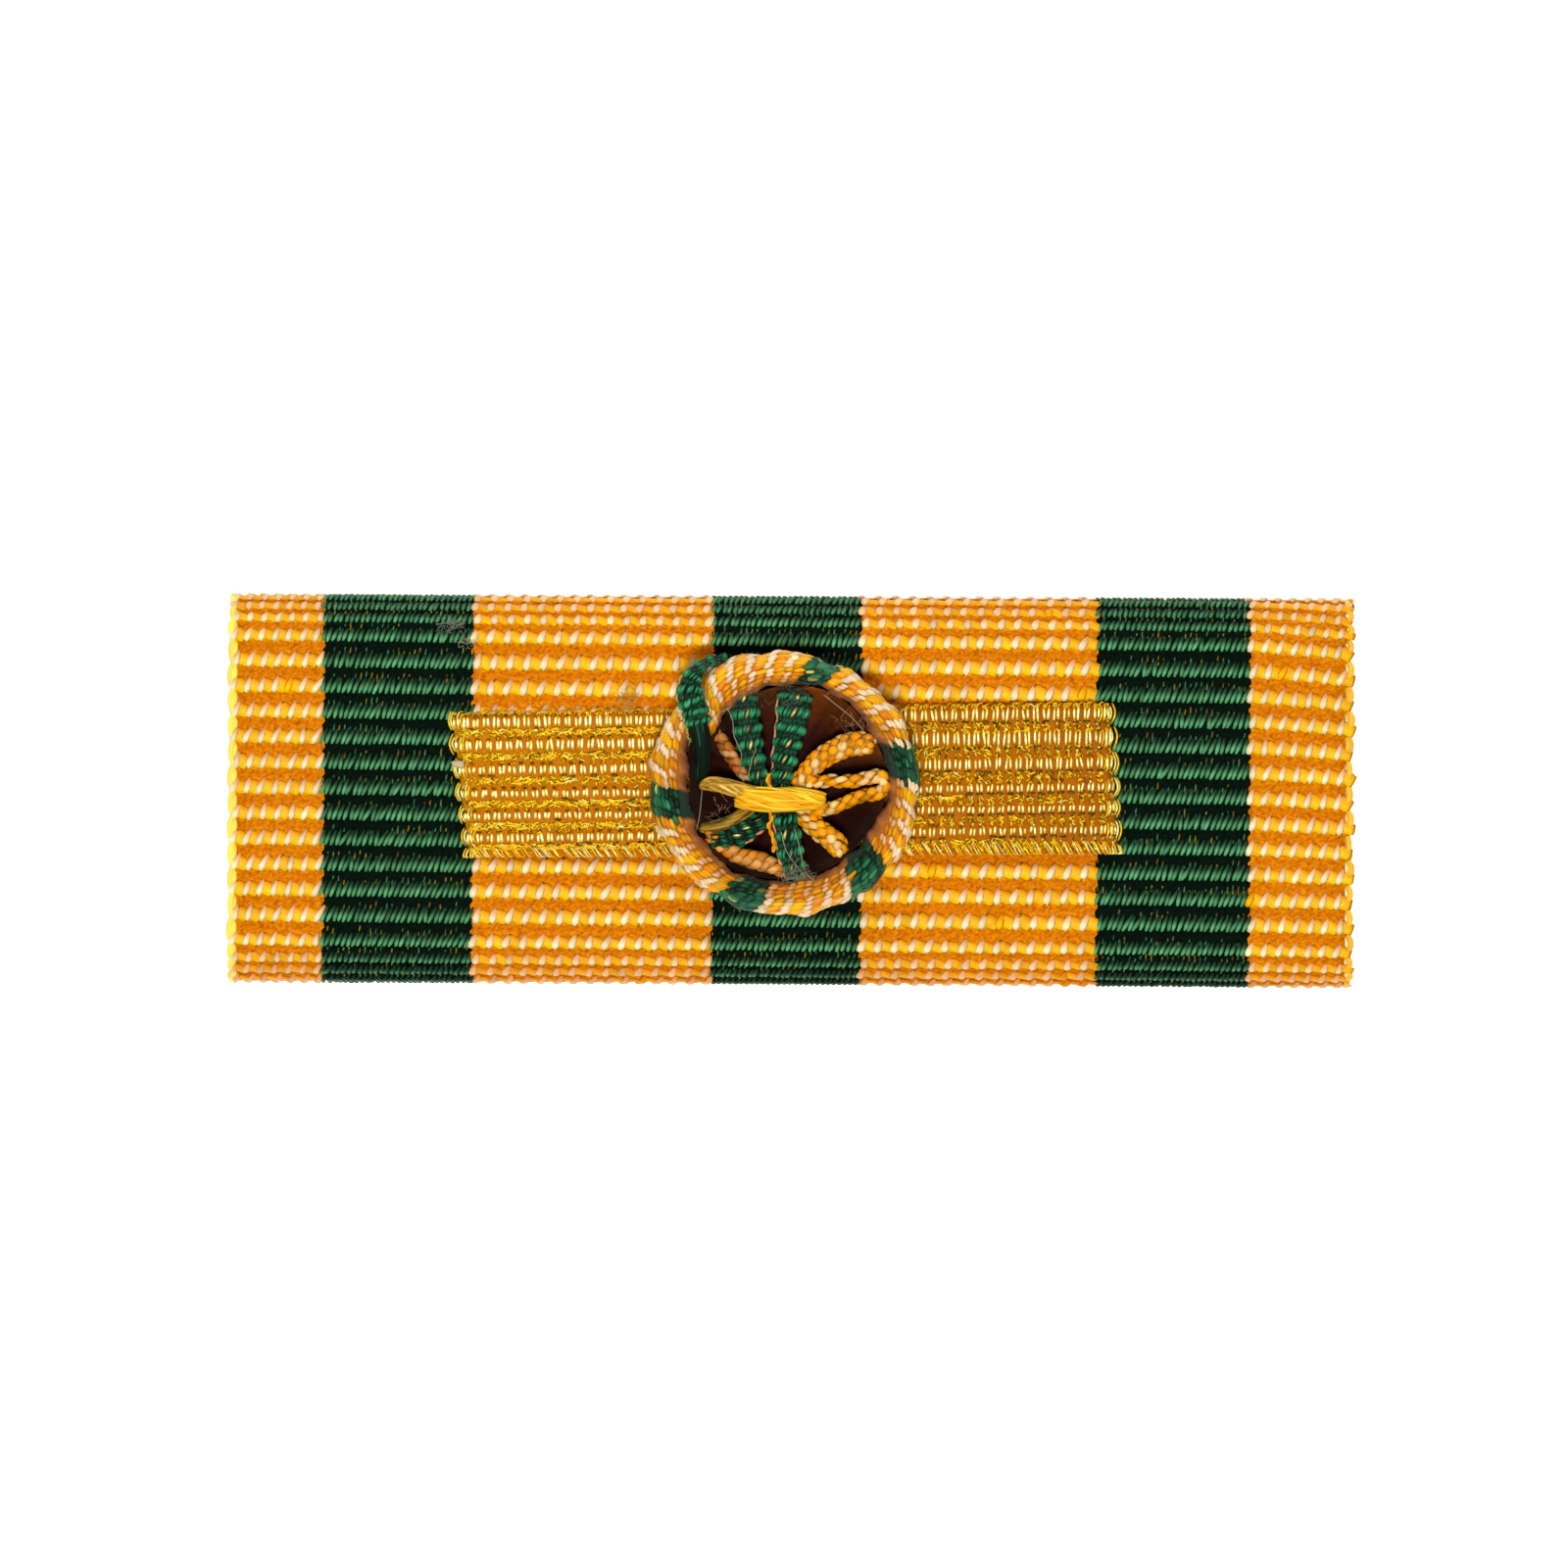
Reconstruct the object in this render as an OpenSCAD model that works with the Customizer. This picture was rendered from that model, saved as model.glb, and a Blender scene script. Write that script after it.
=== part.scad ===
// Ribbon bar: a brass bar dressed in striped ribbed ribbon, with a piece of gold lace and a
// small gathered rosette on its face and a brooch pin behind.
// Millimetres. X runs along the bar, Y up its face, Z out of the face. The bar lies face up.

/* [Bar] */
// Width of the ribbon, which is the length of the bar
bar_w = 38; // [34:0.5:42]
// Height of the dressed bar from long edge to long edge
bar_h = 13.3; // [12.4:0.1:15]
// Thickness of the dressed bar, whose long edges are full round
bar_t = 2.9; // [2.7:0.05:3.5]

/* [Ribbon] */
// Thickness of the cloth in the valley between two ribs
cloth_t = 0.45; // [0.35:0.05:0.55]
// Height of a rib above the valleys beside it
rib_h = 0.14; // [0.08:0.02:0.2]
// Distance from rib to rib
rib_pitch = 0.864; // [0.75:0.01:1]
// Distance between the two ends of the ribbon behind the bar
ends_gap = 0.6; // [0.3:0.1:1.5]
// Gap between two pieces that lie against each other
seat_gap = 0.03; // [0.02:0.01:0.05]

/* [Backing bar] */
// Thickness of the brass sheet
sheet_t = 0.45; // [0.35:0.05:0.5]
// Width of the slot between the rolled edges of the sheet
slot_w = 5; // [4:0.25:7]
// Distance from the end of the sheet to the end of the ribbon
sheet_inset = 0.25; // [0.1:0.05:0.6]

/* [Brooch pin] */
// Length of the base strip
base_l = 30; // [27:0.5:33]
// Width of the base strip
base_w = 5; // [4.4:0.2:6]
// Thickness of the base strip
base_t = 0.5; // [0.4:0.05:0.7]
// Radius of the strip's corners
base_corner = 0.8; // [0.4:0.1:1.2]
// Height of the knuckle and the catch behind the strip
pin_drop = 2.4; // [2.2:0.1:3]
// Width of the knuckle and the catch
foot_w = 3.6; // [3:0.1:4]
// Length of the knuckle along the bar
knuckle_l = 3; // [2.6:0.1:3.6]
// Length of the catch along the bar
catch_l = 2.4; // [2:0.1:3]
// Thickness of the bent catch
catch_t = 0.45; // [0.4:0.05:0.6]
// Height of the lip that keeps the stem in the catch
lip_h = 1.5; // [1.3:0.1:1.7]
// Diameter of the stem
stem_d = 0.8; // [0.6:0.05:0.9]
// Length of the stem's point
point_l = 2.5; // [1.5:0.25:3]
// Distance from an end of the strip to the knuckle and to the catch
foot_inset = 0.8; // [0.4:0.1:1.5]

/* [Gold lace] */
// Length of the piece of lace
lace_l = 22.3; // [20:0.1:26]
// Height of the piece at its left end
lace_h_left = 4.95; // [4.6:0.05:5.6]
// Height of the piece at its right end
lace_h_right = 5.55; // [4.6:0.05:5.8]
// Thickness of one layer of lace without its ribs
lace_t = 0.2; // [0.15:0.01:0.25]
// Height of the lace's ribs
lace_rib_h = 0.12; // [0.06:0.01:0.16]
// Number of ribs along the piece
lace_ribs = 7; // [5:1:9]
// Width that is turned under along the top and the bottom
lace_turn = 1.2; // [0.8:0.1:1.6]
// Turn of the piece on the bar, in degrees
lace_tilt = 1; // [0:0.25:2]
// Lean of the left end, in degrees
lean_left = 6.2; // [0:0.2:9]
// Lean of the right end, in degrees
lean_right = 2.4; // [0:0.2:9]
// Place of the lace along the bar, from the bar's middle
lace_x = -0.13; // [-1:0.01:1]
// Place of the lace up the face, from the bar's middle
lace_y = 0.23; // [-0.6:0.01:0.6]

/* [Rosette] */
// Diameter of the rosette
rosette_d = 9.06; // [8:0.02:10]
// Height of the rolled rim above the lace
rosette_h = 2.6; // [2.2:0.1:3]
// Place of the rosette along the bar, from the bar's middle
rosette_x = -0.23; // [-1:0.01:1]
// Place of the rosette up the face, from the bar's middle
rosette_y = 0.25; // [-0.6:0.01:0.6]
// Depth of a pleat from its crest to its lower edge
pleat_depth = 0.85; // [0.7:0.05:0.95]
// Depth of the stitch across the middle
stitch_depth = 0.62; // [0.5:0.02:0.68]

/* [Hidden] */
// Radius of the round long edges over the ribs, in the valleys, inside the cloth and of the sheet
crest_r = bar_t / 2;
valley_r = crest_r - rib_h;
lining_r = valley_r - cloth_t;
sheet_r = lining_r - seat_gap;
// Half of the flat stretch between the two round edges
flat_half = bar_h / 2 - crest_r;
// Height of the bar's middle plane, of its face and of the top of the lace
bar_z = pin_drop + base_t + seat_gap + crest_r;
face_z = bar_z + crest_r;
lace_top = face_z + seat_gap + 2 * lace_t + lace_rib_h;
// Lengths along the ribbon: a back half, a round edge, the face, and from end to end
back_run = flat_half - ends_gap / 2;
edge_run = PI * crest_r;
face_run = 2 * flat_half;
ribbon_run = 2 * back_run + 2 * edge_run + face_run;
// Points along each rib, along each round edge inside, and along each rib of the lace
rib_steps = 6;
edge_steps = 12;
lace_steps = 5;
// Radius of the rosette
rosette_r = rosette_d / 2;
// Width over which the rosette's rim falls from the lace to the ribbon
fall_w = 0.7;
// How square the sections of the rim and of a pleat are
rim_square = 2.6;
pleat_square = 2.2;
// Points around the sections of the rim and of a pleat, and steps between two rows of a table
rim_points = 16;
pleat_points = 10;
rim_steps = 3;
pleat_steps = 4;
// Share of a pleat's depth and width that is left at its two ends
tip_share = 0.45;
// Angle over which the bowl keeps inside the rim's tucked end
pass_angle = 15;
// Sides of the bowl
bowl_sides = 48;

// The rolled rim goes once round and its ends pass each other. Columns: direction in degrees,
// inner radius, outer radius (shares of the rosette's radius), top (share of its height)
RIM = [
    [148, 0.895, 0.985, 0.70],
    [156, 0.805, 1.000, 0.92],
    [166, 0.740, 1.000, 0.99],
    [180, 0.700, 1.000, 1.00],
    [210, 0.715, 0.995, 1.00],
    [240, 0.735, 0.980, 1.00],
    [270, 0.705, 0.985, 0.98],
    [300, 0.710, 0.995, 0.98],
    [330, 0.715, 1.015, 1.00],
    [360, 0.765, 1.000, 0.99],
    [390, 0.740, 0.995, 1.00],
    [420, 0.755, 0.965, 0.99],
    [450, 0.720, 0.980, 1.00],
    [476, 0.685, 1.005, 1.00],
    [486, 0.665, 0.985, 0.96],
    [494, 0.652, 0.860, 0.88],
    [502, 0.642, 0.735, 0.78],
    [507, 0.636, 0.672, 0.68],
];

// The gathered bowl. Columns: share of the rim's inner radius, share of the rosette's height
BOWL = [
    [0.10, 0.16],
    [0.60, 0.16],
    [0.84, 0.20],
    [0.93, 0.27],
    [0.97, 0.26],
    [0.94, 0.12],
    [0.80, 0.01],
    [0.10, 0.01],
];

// Each strand is a table of points from its inner to its outer end. Columns: x, y and width
// (shares of the rosette's radius), top (share of its height)
OVERLAP_FOLD = [
    [-0.430, 0.940, 0.030, 0.55],
    [-0.543, 0.912, 0.060, 0.66],
    [-0.634, 0.854, 0.090, 0.82],
    [-0.698, 0.766, 0.150, 0.97],
    [-0.709, 0.642, 0.185, 1.03],
    [-0.680, 0.558, 0.165, 1.03],
    [-0.675, 0.470, 0.130, 1.00],
    [-0.671, 0.386, 0.120, 0.95],
    [-0.628, 0.272, 0.100, 0.86],
    [-0.625, 0.159, 0.070, 0.72],
    [-0.640, 0.035, 0.030, 0.60],
];
GREEN_UPPER_LEFT = [
    [-0.180, 0.010, 0.120, 0.52],
    [-0.235, 0.240, 0.150, 0.64],
    [-0.285, 0.430, 0.200, 0.72],
    [-0.315, 0.560, 0.160, 0.76],
];
GREEN_UPPER_RIGHT = [
    [-0.028, 0.005, 0.150, 0.53],
    [0.010, 0.240, 0.200, 0.68],
    [0.060, 0.440, 0.235, 0.76],
    [0.084, 0.600, 0.210, 0.80],
];
ORANGE_UPPER_LEFT = [
    [-0.330, 0.080, 0.060, 0.50],
    [-0.385, 0.180, 0.085, 0.52],
    [-0.440, 0.290, 0.090, 0.58],
    [-0.470, 0.350, 0.080, 0.62],
];
YELLOW_LEFT = [
    [-0.300, -0.040, 0.080, 0.54],
    [-0.400, -0.012, 0.115, 0.66],
    [-0.510, -0.010, 0.110, 0.70],
    [-0.600, -0.016, 0.070, 0.72],
];
OLIVE_LEFT = [
    [-0.280, -0.190, 0.075, 0.48],
    [-0.370, -0.245, 0.085, 0.56],
    [-0.480, -0.305, 0.100, 0.60],
    [-0.560, -0.330, 0.090, 0.62],
];
GREEN_LOWER_LEFT = [
    [-0.145, -0.235, 0.100, 0.50],
    [-0.260, -0.325, 0.130, 0.62],
    [-0.350, -0.365, 0.145, 0.68],
    [-0.430, -0.400, 0.110, 0.68],
];
GREEN_BOTTOM = [
    [-0.002, -0.215, 0.150, 0.52],
    [0.025, -0.360, 0.175, 0.64],
    [0.048, -0.480, 0.170, 0.72],
    [0.068, -0.590, 0.140, 0.74],
];
ORANGE_UPPER_RIGHT = [
    [0.110, 0.030, 0.100, 0.54],
    [0.260, 0.125, 0.140, 0.72],
    [0.430, 0.225, 0.185, 0.82],
    [0.575, 0.305, 0.150, 0.86],
];
ORANGE_LOOP = [
    [0.195, -0.015, 0.070, 0.54],
    [0.360, 0.018, 0.085, 0.72],
    [0.560, 0.036, 0.090, 0.84],
    [0.680, 0.052, 0.090, 0.88],
    [0.708, -0.015, 0.090, 0.88],
    [0.680, -0.082, 0.090, 0.86],
    [0.560, -0.095, 0.090, 0.80],
    [0.370, -0.170, 0.085, 0.68],
    [0.240, -0.220, 0.070, 0.54],
];
ORANGE_LOWER_RIGHT = [
    [0.140, -0.250, 0.090, 0.50],
    [0.225, -0.330, 0.140, 0.62],
    [0.320, -0.390, 0.160, 0.70],
    [0.400, -0.440, 0.150, 0.70],
];
TUCKED_END = [
    [-0.565, -0.400, 0.060, 0.62],
    [-0.435, -0.510, 0.085, 0.66],
    [-0.270, -0.590, 0.110, 0.68],
    [-0.090, -0.630, 0.085, 0.64],
];
CENTRE_STITCH = [
    [-0.322, -0.118, 0.120, 0.76],
    [-0.160, -0.120, 0.165, 0.83],
    [0.100, -0.120, 0.165, 0.83],
    [0.280, -0.122, 0.130, 0.76],
];

// Value part of the way from a to b
function mix(a, b, t) = a + (b - a) * t;
function clamp01(t) = min(max(t, 0), 1);
function smooth(t) = clamp01(t) * clamp01(t) * (3 - 2 * clamp01(t));

// Point on a smooth curve through four rows of a table, between the second and the third
function curve(a, b, c, d, t) =
    ((2 * b) + (c - a) * t + (2 * a - 5 * b + 4 * c - d) * t * t
        + (3 * b - a - 3 * c + d) * t * t * t) / 2;

// Rows of a table with more rows worked out between them on a smooth curve
function refined(rows, steps) =
    let (last = len(rows) - 1)
    [for (i = [0 : last * steps])
        let (k = min(floor(i / steps), last - 1), t = i / steps - k)
        curve(rows[max(k - 1, 0)], rows[k], rows[k + 1], rows[min(k + 2, last)], t)];

// Coordinate from 0 to 1 on a rounded square
function squared(c, square) = 0.5 + 0.5 * sign(c) * pow(abs(c), 2 / square);

// Closed solid through a row of sections, each a list of the same number of points
module loft(sections) {
    n = len(sections[0]);
    m = len(sections);
    sides = [for (i = [0 : m - 2], j = [0 : n - 1])
        let (a = i * n + j, b = i * n + (j + 1) % n, c = b + n, d = a + n)
        each [[a, d, c], [a, c, b]]];
    near_cap = [for (j = [0 : n - 1]) j];
    far_cap = [for (j = [n - 1 : -1 : 0]) (m - 1) * n + j];
    polyhedron([for (s = sections) each s], concat(sides, [near_cap, far_cap]));
}

// Flat shape in the Y and Z directions, drawn out along X with its middle on the bar's middle
module along_bar(length) {
    rotate([90, 0, 90])
        linear_extrude(length, center = true)
            children();
}

// Stadium around the bar's middle, whose round ends have the given radius
module stadium(radius) {
    square([2 * flat_half, 2 * radius], center = true);
    for (side = [-1, 1])
        translate([side * flat_half, 0])
            circle(radius, $fn = 64);
}

// Point at a length along the ribbon and a distance from the bar's middle line: up the back,
// over the top edge, down the face, round the bottom edge and up the back again
function on_ribbon(along, radius) =
    let (s1 = along - back_run, s2 = s1 - edge_run, s3 = s2 - face_run, s4 = s3 - edge_run)
    s1 < 0 ? [ends_gap / 2 + along, -radius]
    : s2 < 0 ? [flat_half + radius * sin(180 * s1 / edge_run), -radius * cos(180 * s1 / edge_run)]
    : s3 < 0 ? [flat_half - s2, radius]
    : s4 < 0 ? [-flat_half - radius * sin(180 * s3 / edge_run), radius * cos(180 * s3 / edge_run)]
    : [-flat_half + s4, -radius];

// Radius over the ribs: round crests and sharp valleys, with a crest on the middle of the face
function rib_radius(along) =
    valley_r + rib_h * abs(cos(180 * (along - ribbon_run / 2) / rib_pitch));

// Section of the ribbon: ribbed outside, plain inside
function ribbon_outline() =
    let (count = ceil(ribbon_run / rib_pitch) * rib_steps,
        lining = [0, back_run, for (i = [1 : edge_steps]) back_run + edge_run * i / edge_steps,
            for (i = [0 : edge_steps]) ribbon_run - back_run - edge_run * (1 - i / edge_steps),
            ribbon_run])
    concat(
        [for (i = [0 : count]) let (s = ribbon_run * i / count) on_ribbon(s, rib_radius(s))],
        [for (i = [len(lining) - 1 : -1 : 0]) on_ribbon(lining[i], lining_r)]);

module ribbon() {
    color("darkorange")
        translate([0, 0, bar_z])
            along_bar(bar_w)
                polygon(ribbon_outline());
}

// Brass sheet with its long edges rolled back to two lips
module backing_bar() {
    color("goldenrod")
        translate([0, 0, bar_z])
            along_bar(bar_w - 2 * sheet_inset)
                difference() {
                    stadium(sheet_r);
                    stadium(sheet_r - sheet_t);
                    translate([-slot_w / 2, -2 * sheet_r])
                        square([slot_w, 2 * sheet_r]);
                }
}

// Rectangle with round corners
module rounded_strip(length, width, corner) {
    square([length - 2 * corner, width], center = true);
    square([length, width - 2 * corner], center = true);
    for (x = [-1, 1], y = [-1, 1])
        translate([x * (length / 2 - corner), y * (width / 2 - corner)])
            circle(corner, $fn = 32);
}

// Base strip with round corners, a knuckle and a stem soldered to it, and a bent catch
module brooch_pin() {
    stem_z = catch_t + 0.25 * stem_d + stem_d / 2;
    knuckle_x = -base_l / 2 + foot_inset;
    catch_x = base_l / 2 - foot_inset - catch_l;
    stem_l = catch_x + catch_l + point_l / 2 - knuckle_x - knuckle_l / 2;
    color("darkgoldenrod")
        union() {
            translate([0, 0, pin_drop])
                linear_extrude(base_t)
                    rounded_strip(base_l, base_w, base_corner);
            // Knuckle, round on the side where the stem leaves it
            translate([knuckle_x, -foot_w / 2, 0])
                cube([knuckle_l - pin_drop / 2, foot_w, pin_drop + base_t / 2]);
            translate([knuckle_x + knuckle_l - pin_drop / 2, 0, pin_drop / 2])
                rotate([90, 0, 0])
                    cylinder(h = foot_w, r = pin_drop / 2, center = true, $fn = 48);
            // Catch, open on its upper side
            translate([catch_x, -foot_w / 2, 0]) {
                cube([catch_l, catch_t, pin_drop + base_t / 2]);
                cube([catch_l, foot_w, catch_t]);
                translate([0, foot_w - catch_t, 0])
                    cube([catch_l, catch_t, lip_h]);
            }
            // Stem and point
            translate([knuckle_x + knuckle_l / 2, 0, stem_z])
                rotate([0, 90, 0]) {
                    cylinder(h = stem_l - point_l, d = stem_d, $fn = 32);
                    translate([0, 0, stem_l - point_l])
                        cylinder(h = point_l, d1 = stem_d, d2 = stem_d / 8, $fn = 32);
                }
        }
}

// Section of the lace for a given height: ribs on top, round long edges, and below it the
// shallow hollow between the two turned edges
function lace_outline(height) =
    let (count = lace_ribs * lace_steps, turn = lace_turn, flat = 2 * lace_t)
    concat(
        [for (i = [0 : count])
            let (t = i / count)
            [height * (0.5 - t), flat + lace_rib_h * abs(sin(180 * t * lace_ribs))]],
        [[-height / 2 - lace_t / 2, lace_t], [-height / 2, 0],
            [-height / 2 + turn, 0], [-height / 2 + turn, lace_t],
            [height / 2 - turn, lace_t], [height / 2 - turn, 0],
            [height / 2, 0], [height / 2 + lace_t / 2, lace_t]]);

module gold_lace() {
    left = [for (p = lace_outline(lace_h_left - lace_t))
        [-lace_l / 2 - p[0] * tan(lean_left), p[0], p[1]]];
    right = [for (p = lace_outline(lace_h_right - lace_t))
        [lace_l / 2 - p[0] * tan(lean_right), p[0], p[1]]];
    color("gold")
        translate([lace_x, lace_y, face_z + seat_gap])
            rotate([0, 0, lace_tilt])
                loft([left, right]);
}

// Height of what the rosette stands on at a distance up the face from the rosette's middle:
// the lace, or past the lace's edge the ribbon
function seat_z(y) =
    let (past = abs(y + rosette_y - lace_y) - lace_h_right / 2)
    seat_gap + mix(lace_top, face_z, smooth(past / fall_w));

// Section of the rolled rim for one row of its table
function rim_section(row) =
    [for (k = [0 : rim_points - 1])
        let (angle = 360 * k / rim_points,
            r = rosette_r * mix(row[1], row[2], squared(cos(angle), rim_square)),
            x = r * cos(row[0]), y = r * sin(row[0]),
            top = lace_top + seat_gap + rosette_h * row[3])
        [x, y, mix(seat_z(y), top, squared(sin(angle), rim_square))]];

module rosette_rim() {
    color("orange")
        translate([rosette_x, rosette_y, 0])
            loft([for (row = refined(RIM, rim_steps)) rim_section(row)]);
}

// Inner radius of the rim in a direction, from the stretch of it that lies furthest inside
function rim_inner(direction) =
    let (first = RIM[0][0] + pass_angle, turn = first + (direction - first + 720) % 360)
    rosette_r * lookup(turn, [for (row = refined(RIM, rim_steps)) [row[0], row[1]]]);

// Gathered cloth across the bottom of the rim
module rosette_bowl() {
    color("saddlebrown")
        translate([rosette_x, rosette_y, lace_top + seat_gap])
            loft([for (i = [len(BOWL) - 1 : -1 : 0])
                [for (k = [0 : bowl_sides - 1])
                    let (angle = 360 * k / bowl_sides, r = BOWL[i][0] * rim_inner(angle))
                    [r * cos(angle), r * sin(angle), BOWL[i][1] * rosette_h]]]);
}

// Upright fold of cloth along a strand's table, thinner at its two ends
module strand(rows, depth) {
    path = refined(rows, pleat_steps);
    last = len(path) - 1;
    translate([rosette_x, rosette_y, lace_top + seat_gap])
        loft([for (i = [0 : last])
            let (here = path[i],
                ahead = path[min(i + 1, last)] - path[max(i - 1, 0)],
                across = [-ahead[1], ahead[0]] / norm([ahead[0], ahead[1]]),
                tip = min(i, last - i) == 0 ? tip_share : 1,
                half = rosette_r * here[2] * tip / 2,
                top = rosette_h * here[3])
            [for (k = [0 : pleat_points - 1])
                let (angle = 360 * k / pleat_points,
                    side = half * (2 * squared(cos(angle), pleat_square) - 1),
                    drop = depth * (0.5 - tip * (squared(sin(angle), pleat_square) - 0.5)))
                [rosette_r * here[0] + across[0] * side, rosette_r * here[1] + across[1] * side,
                    top - drop]]]);
}

// The ribbon's end, folded over the place where the two ends of the rim pass each other
module overlap_fold() {
    color("darkgreen") strand(OVERLAP_FOLD, pleat_depth);
}

module pleat_green_upper_left() {
    color("green") strand(GREEN_UPPER_LEFT, pleat_depth);
}

module pleat_green_upper_right() {
    color("green") strand(GREEN_UPPER_RIGHT, pleat_depth);
}

module pleat_orange_upper_left() {
    color("chocolate") strand(ORANGE_UPPER_LEFT, pleat_depth);
}

module pleat_yellow_left() {
    color("gold") strand(YELLOW_LEFT, pleat_depth);
}

module pleat_olive_left() {
    color("olive") strand(OLIVE_LEFT, pleat_depth);
}

module pleat_green_lower_left() {
    color("green") strand(GREEN_LOWER_LEFT, pleat_depth);
}

module pleat_green_bottom() {
    color("green") strand(GREEN_BOTTOM, pleat_depth);
}

module pleat_orange_upper_right() {
    color("orange") strand(ORANGE_UPPER_RIGHT, pleat_depth);
}

// Cord-like fold that goes out to the rim, turns there and comes back
module loop_orange_right() {
    color("orange") strand(ORANGE_LOOP, pleat_depth);
}

module pleat_orange_lower_right() {
    color("orange") strand(ORANGE_LOWER_RIGHT, pleat_depth);
}

// The ribbon's inner end, tucked along the inside of the rim
module tucked_end() {
    color("chocolate") strand(TUCKED_END, pleat_depth);
}

// Bundle of thread that ties the pleats down in the middle
module centre_stitch() {
    color("yellow") strand(CENTRE_STITCH, stitch_depth);
}

backing_bar();
brooch_pin();
ribbon();
gold_lace();
rosette_rim();
rosette_bowl();
overlap_fold();
pleat_green_upper_left();
pleat_green_upper_right();
pleat_orange_upper_left();
pleat_yellow_left();
pleat_olive_left();
pleat_green_lower_left();
pleat_green_bottom();
pleat_orange_upper_right();
loop_orange_right();
pleat_orange_lower_right();
tucked_end();
centre_stitch();
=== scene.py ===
"""Ribbon bar with gold lace and a rosette: the looks of its surfaces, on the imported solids."""
import itertools
import math

import bpy
import numpy as np
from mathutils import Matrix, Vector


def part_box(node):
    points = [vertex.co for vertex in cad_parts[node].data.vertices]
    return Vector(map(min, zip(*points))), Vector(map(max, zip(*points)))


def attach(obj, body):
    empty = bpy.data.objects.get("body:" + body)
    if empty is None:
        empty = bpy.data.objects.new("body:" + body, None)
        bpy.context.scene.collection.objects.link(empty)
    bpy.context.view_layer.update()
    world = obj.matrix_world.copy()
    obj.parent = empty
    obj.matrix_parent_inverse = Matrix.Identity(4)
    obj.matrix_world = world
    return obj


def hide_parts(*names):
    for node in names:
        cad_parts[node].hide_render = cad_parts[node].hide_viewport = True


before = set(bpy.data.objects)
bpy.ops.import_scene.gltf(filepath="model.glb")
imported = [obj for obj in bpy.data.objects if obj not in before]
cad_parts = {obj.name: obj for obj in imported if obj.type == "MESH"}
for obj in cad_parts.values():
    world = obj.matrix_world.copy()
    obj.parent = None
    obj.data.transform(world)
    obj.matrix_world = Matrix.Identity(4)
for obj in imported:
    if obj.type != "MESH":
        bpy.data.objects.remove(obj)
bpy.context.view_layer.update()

bl_info = {
    "name": "Ribbon bar",
    "version": (1, 0, 0),
    "blender": (4, 5, 0),
    "location": "3D View > Sidebar > Ribbon bar",
    "description": "Woven surfaces of a ribbon bar with gold lace and a rosette",
    "category": "Mesh",
}

MM = 0.001
BODY = "root"
UP = np.array([0.0, 0.0, 1.0])
THREAD_MAP_SPREAD = 50

RIBBON_LOW, RIBBON_HIGH = (np.array(c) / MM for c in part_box("ribbon"))
LACE_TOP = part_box("gold_lace")[1].z / MM
RIM_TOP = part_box("rosette_rim")[1].z / MM

# Stripes of the ribbon from left to right. Columns: width in mm, yarns across, is green
STRIPES = np.array([
    [3.06, 13, 0],
    [5.10, 28, 1],
    [8.15, 29, 0],
    [5.02, 27, 1],
    [8.06, 28, 0],
    [5.15, 28, 1],
    [3.46, 14, 0],
])

# Bright rows of the lace from top to bottom. Columns: place as a share of the lace's height at
# its left end and at its right end, half length of the bright wires as a share of the row
# pitch at its left end and at its right end
LACE_ROWS = np.array([
    [0.050, 0.084, 0.25, 0.31],
    [0.206, 0.228, 0.22, 0.38],
    [0.375, 0.389, 0.20, 0.27],
    [0.540, 0.539, 0.18, 0.21],
    [0.690, 0.665, 0.18, 0.19],
    [0.845, 0.796, 0.25, 0.19],
    [0.975, 0.950, 0.20, 0.20],
])

# Ribs of the ribbon from the face's middle outwards: they lie closer round the rolled edges.
# Columns: number of the rib, distance in mm
RIB_PLACES = np.array([
    [0, 0],
    [6, 5.184],
    [7, 5.83],
    [8, 6.35],
    [9, 6.98],
    [10, 7.74],
    [11, 8.57],
    [30, 24.99],
])

# Rolled rim of the rosette, along the rim of its solid. Columns: direction in degrees, inner
# and outer radius (shares of the rosette's radius), top (share of its height)
RIM = np.array([
    [141, 0.800, 0.965, 0.70],
    [147, 0.785, 0.990, 0.82],
    [156, 0.760, 1.000, 0.93],
    [166, 0.730, 1.000, 0.98],
    [180, 0.700, 1.000, 1.00],
    [210, 0.715, 0.995, 1.00],
    [240, 0.735, 0.980, 1.00],
    [270, 0.705, 0.985, 0.98],
    [300, 0.710, 0.995, 0.98],
    [330, 0.715, 1.015, 1.00],
    [360, 0.765, 1.000, 0.99],
    [390, 0.740, 0.995, 1.00],
    [420, 0.755, 0.965, 0.99],
    [450, 0.720, 0.980, 1.00],
    [476, 0.685, 1.005, 1.00],
    [486, 0.665, 0.985, 0.96],
    [494, 0.652, 0.860, 0.88],
    [502, 0.642, 0.735, 0.78],
    [507, 0.636, 0.672, 0.68],
])

# Green stretches of the rim. Columns: middle and half width, in degrees
RIM_GREENS = np.array([
    [185, 8.5],
    [246, 8.5],
    [310, 9.0],
    [365, 9.5],
    [428, 7.5],
])

# Gathered bowl, in section. Columns: share of the rim's inner radius, share of the height
BOWL = np.array([
    [0.10, 0.16],
    [0.60, 0.16],
    [0.84, 0.20],
    [0.93, 0.27],
    [0.97, 0.26],
    [0.94, 0.12],
    [0.80, 0.01],
    [0.10, 0.01],
])

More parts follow.
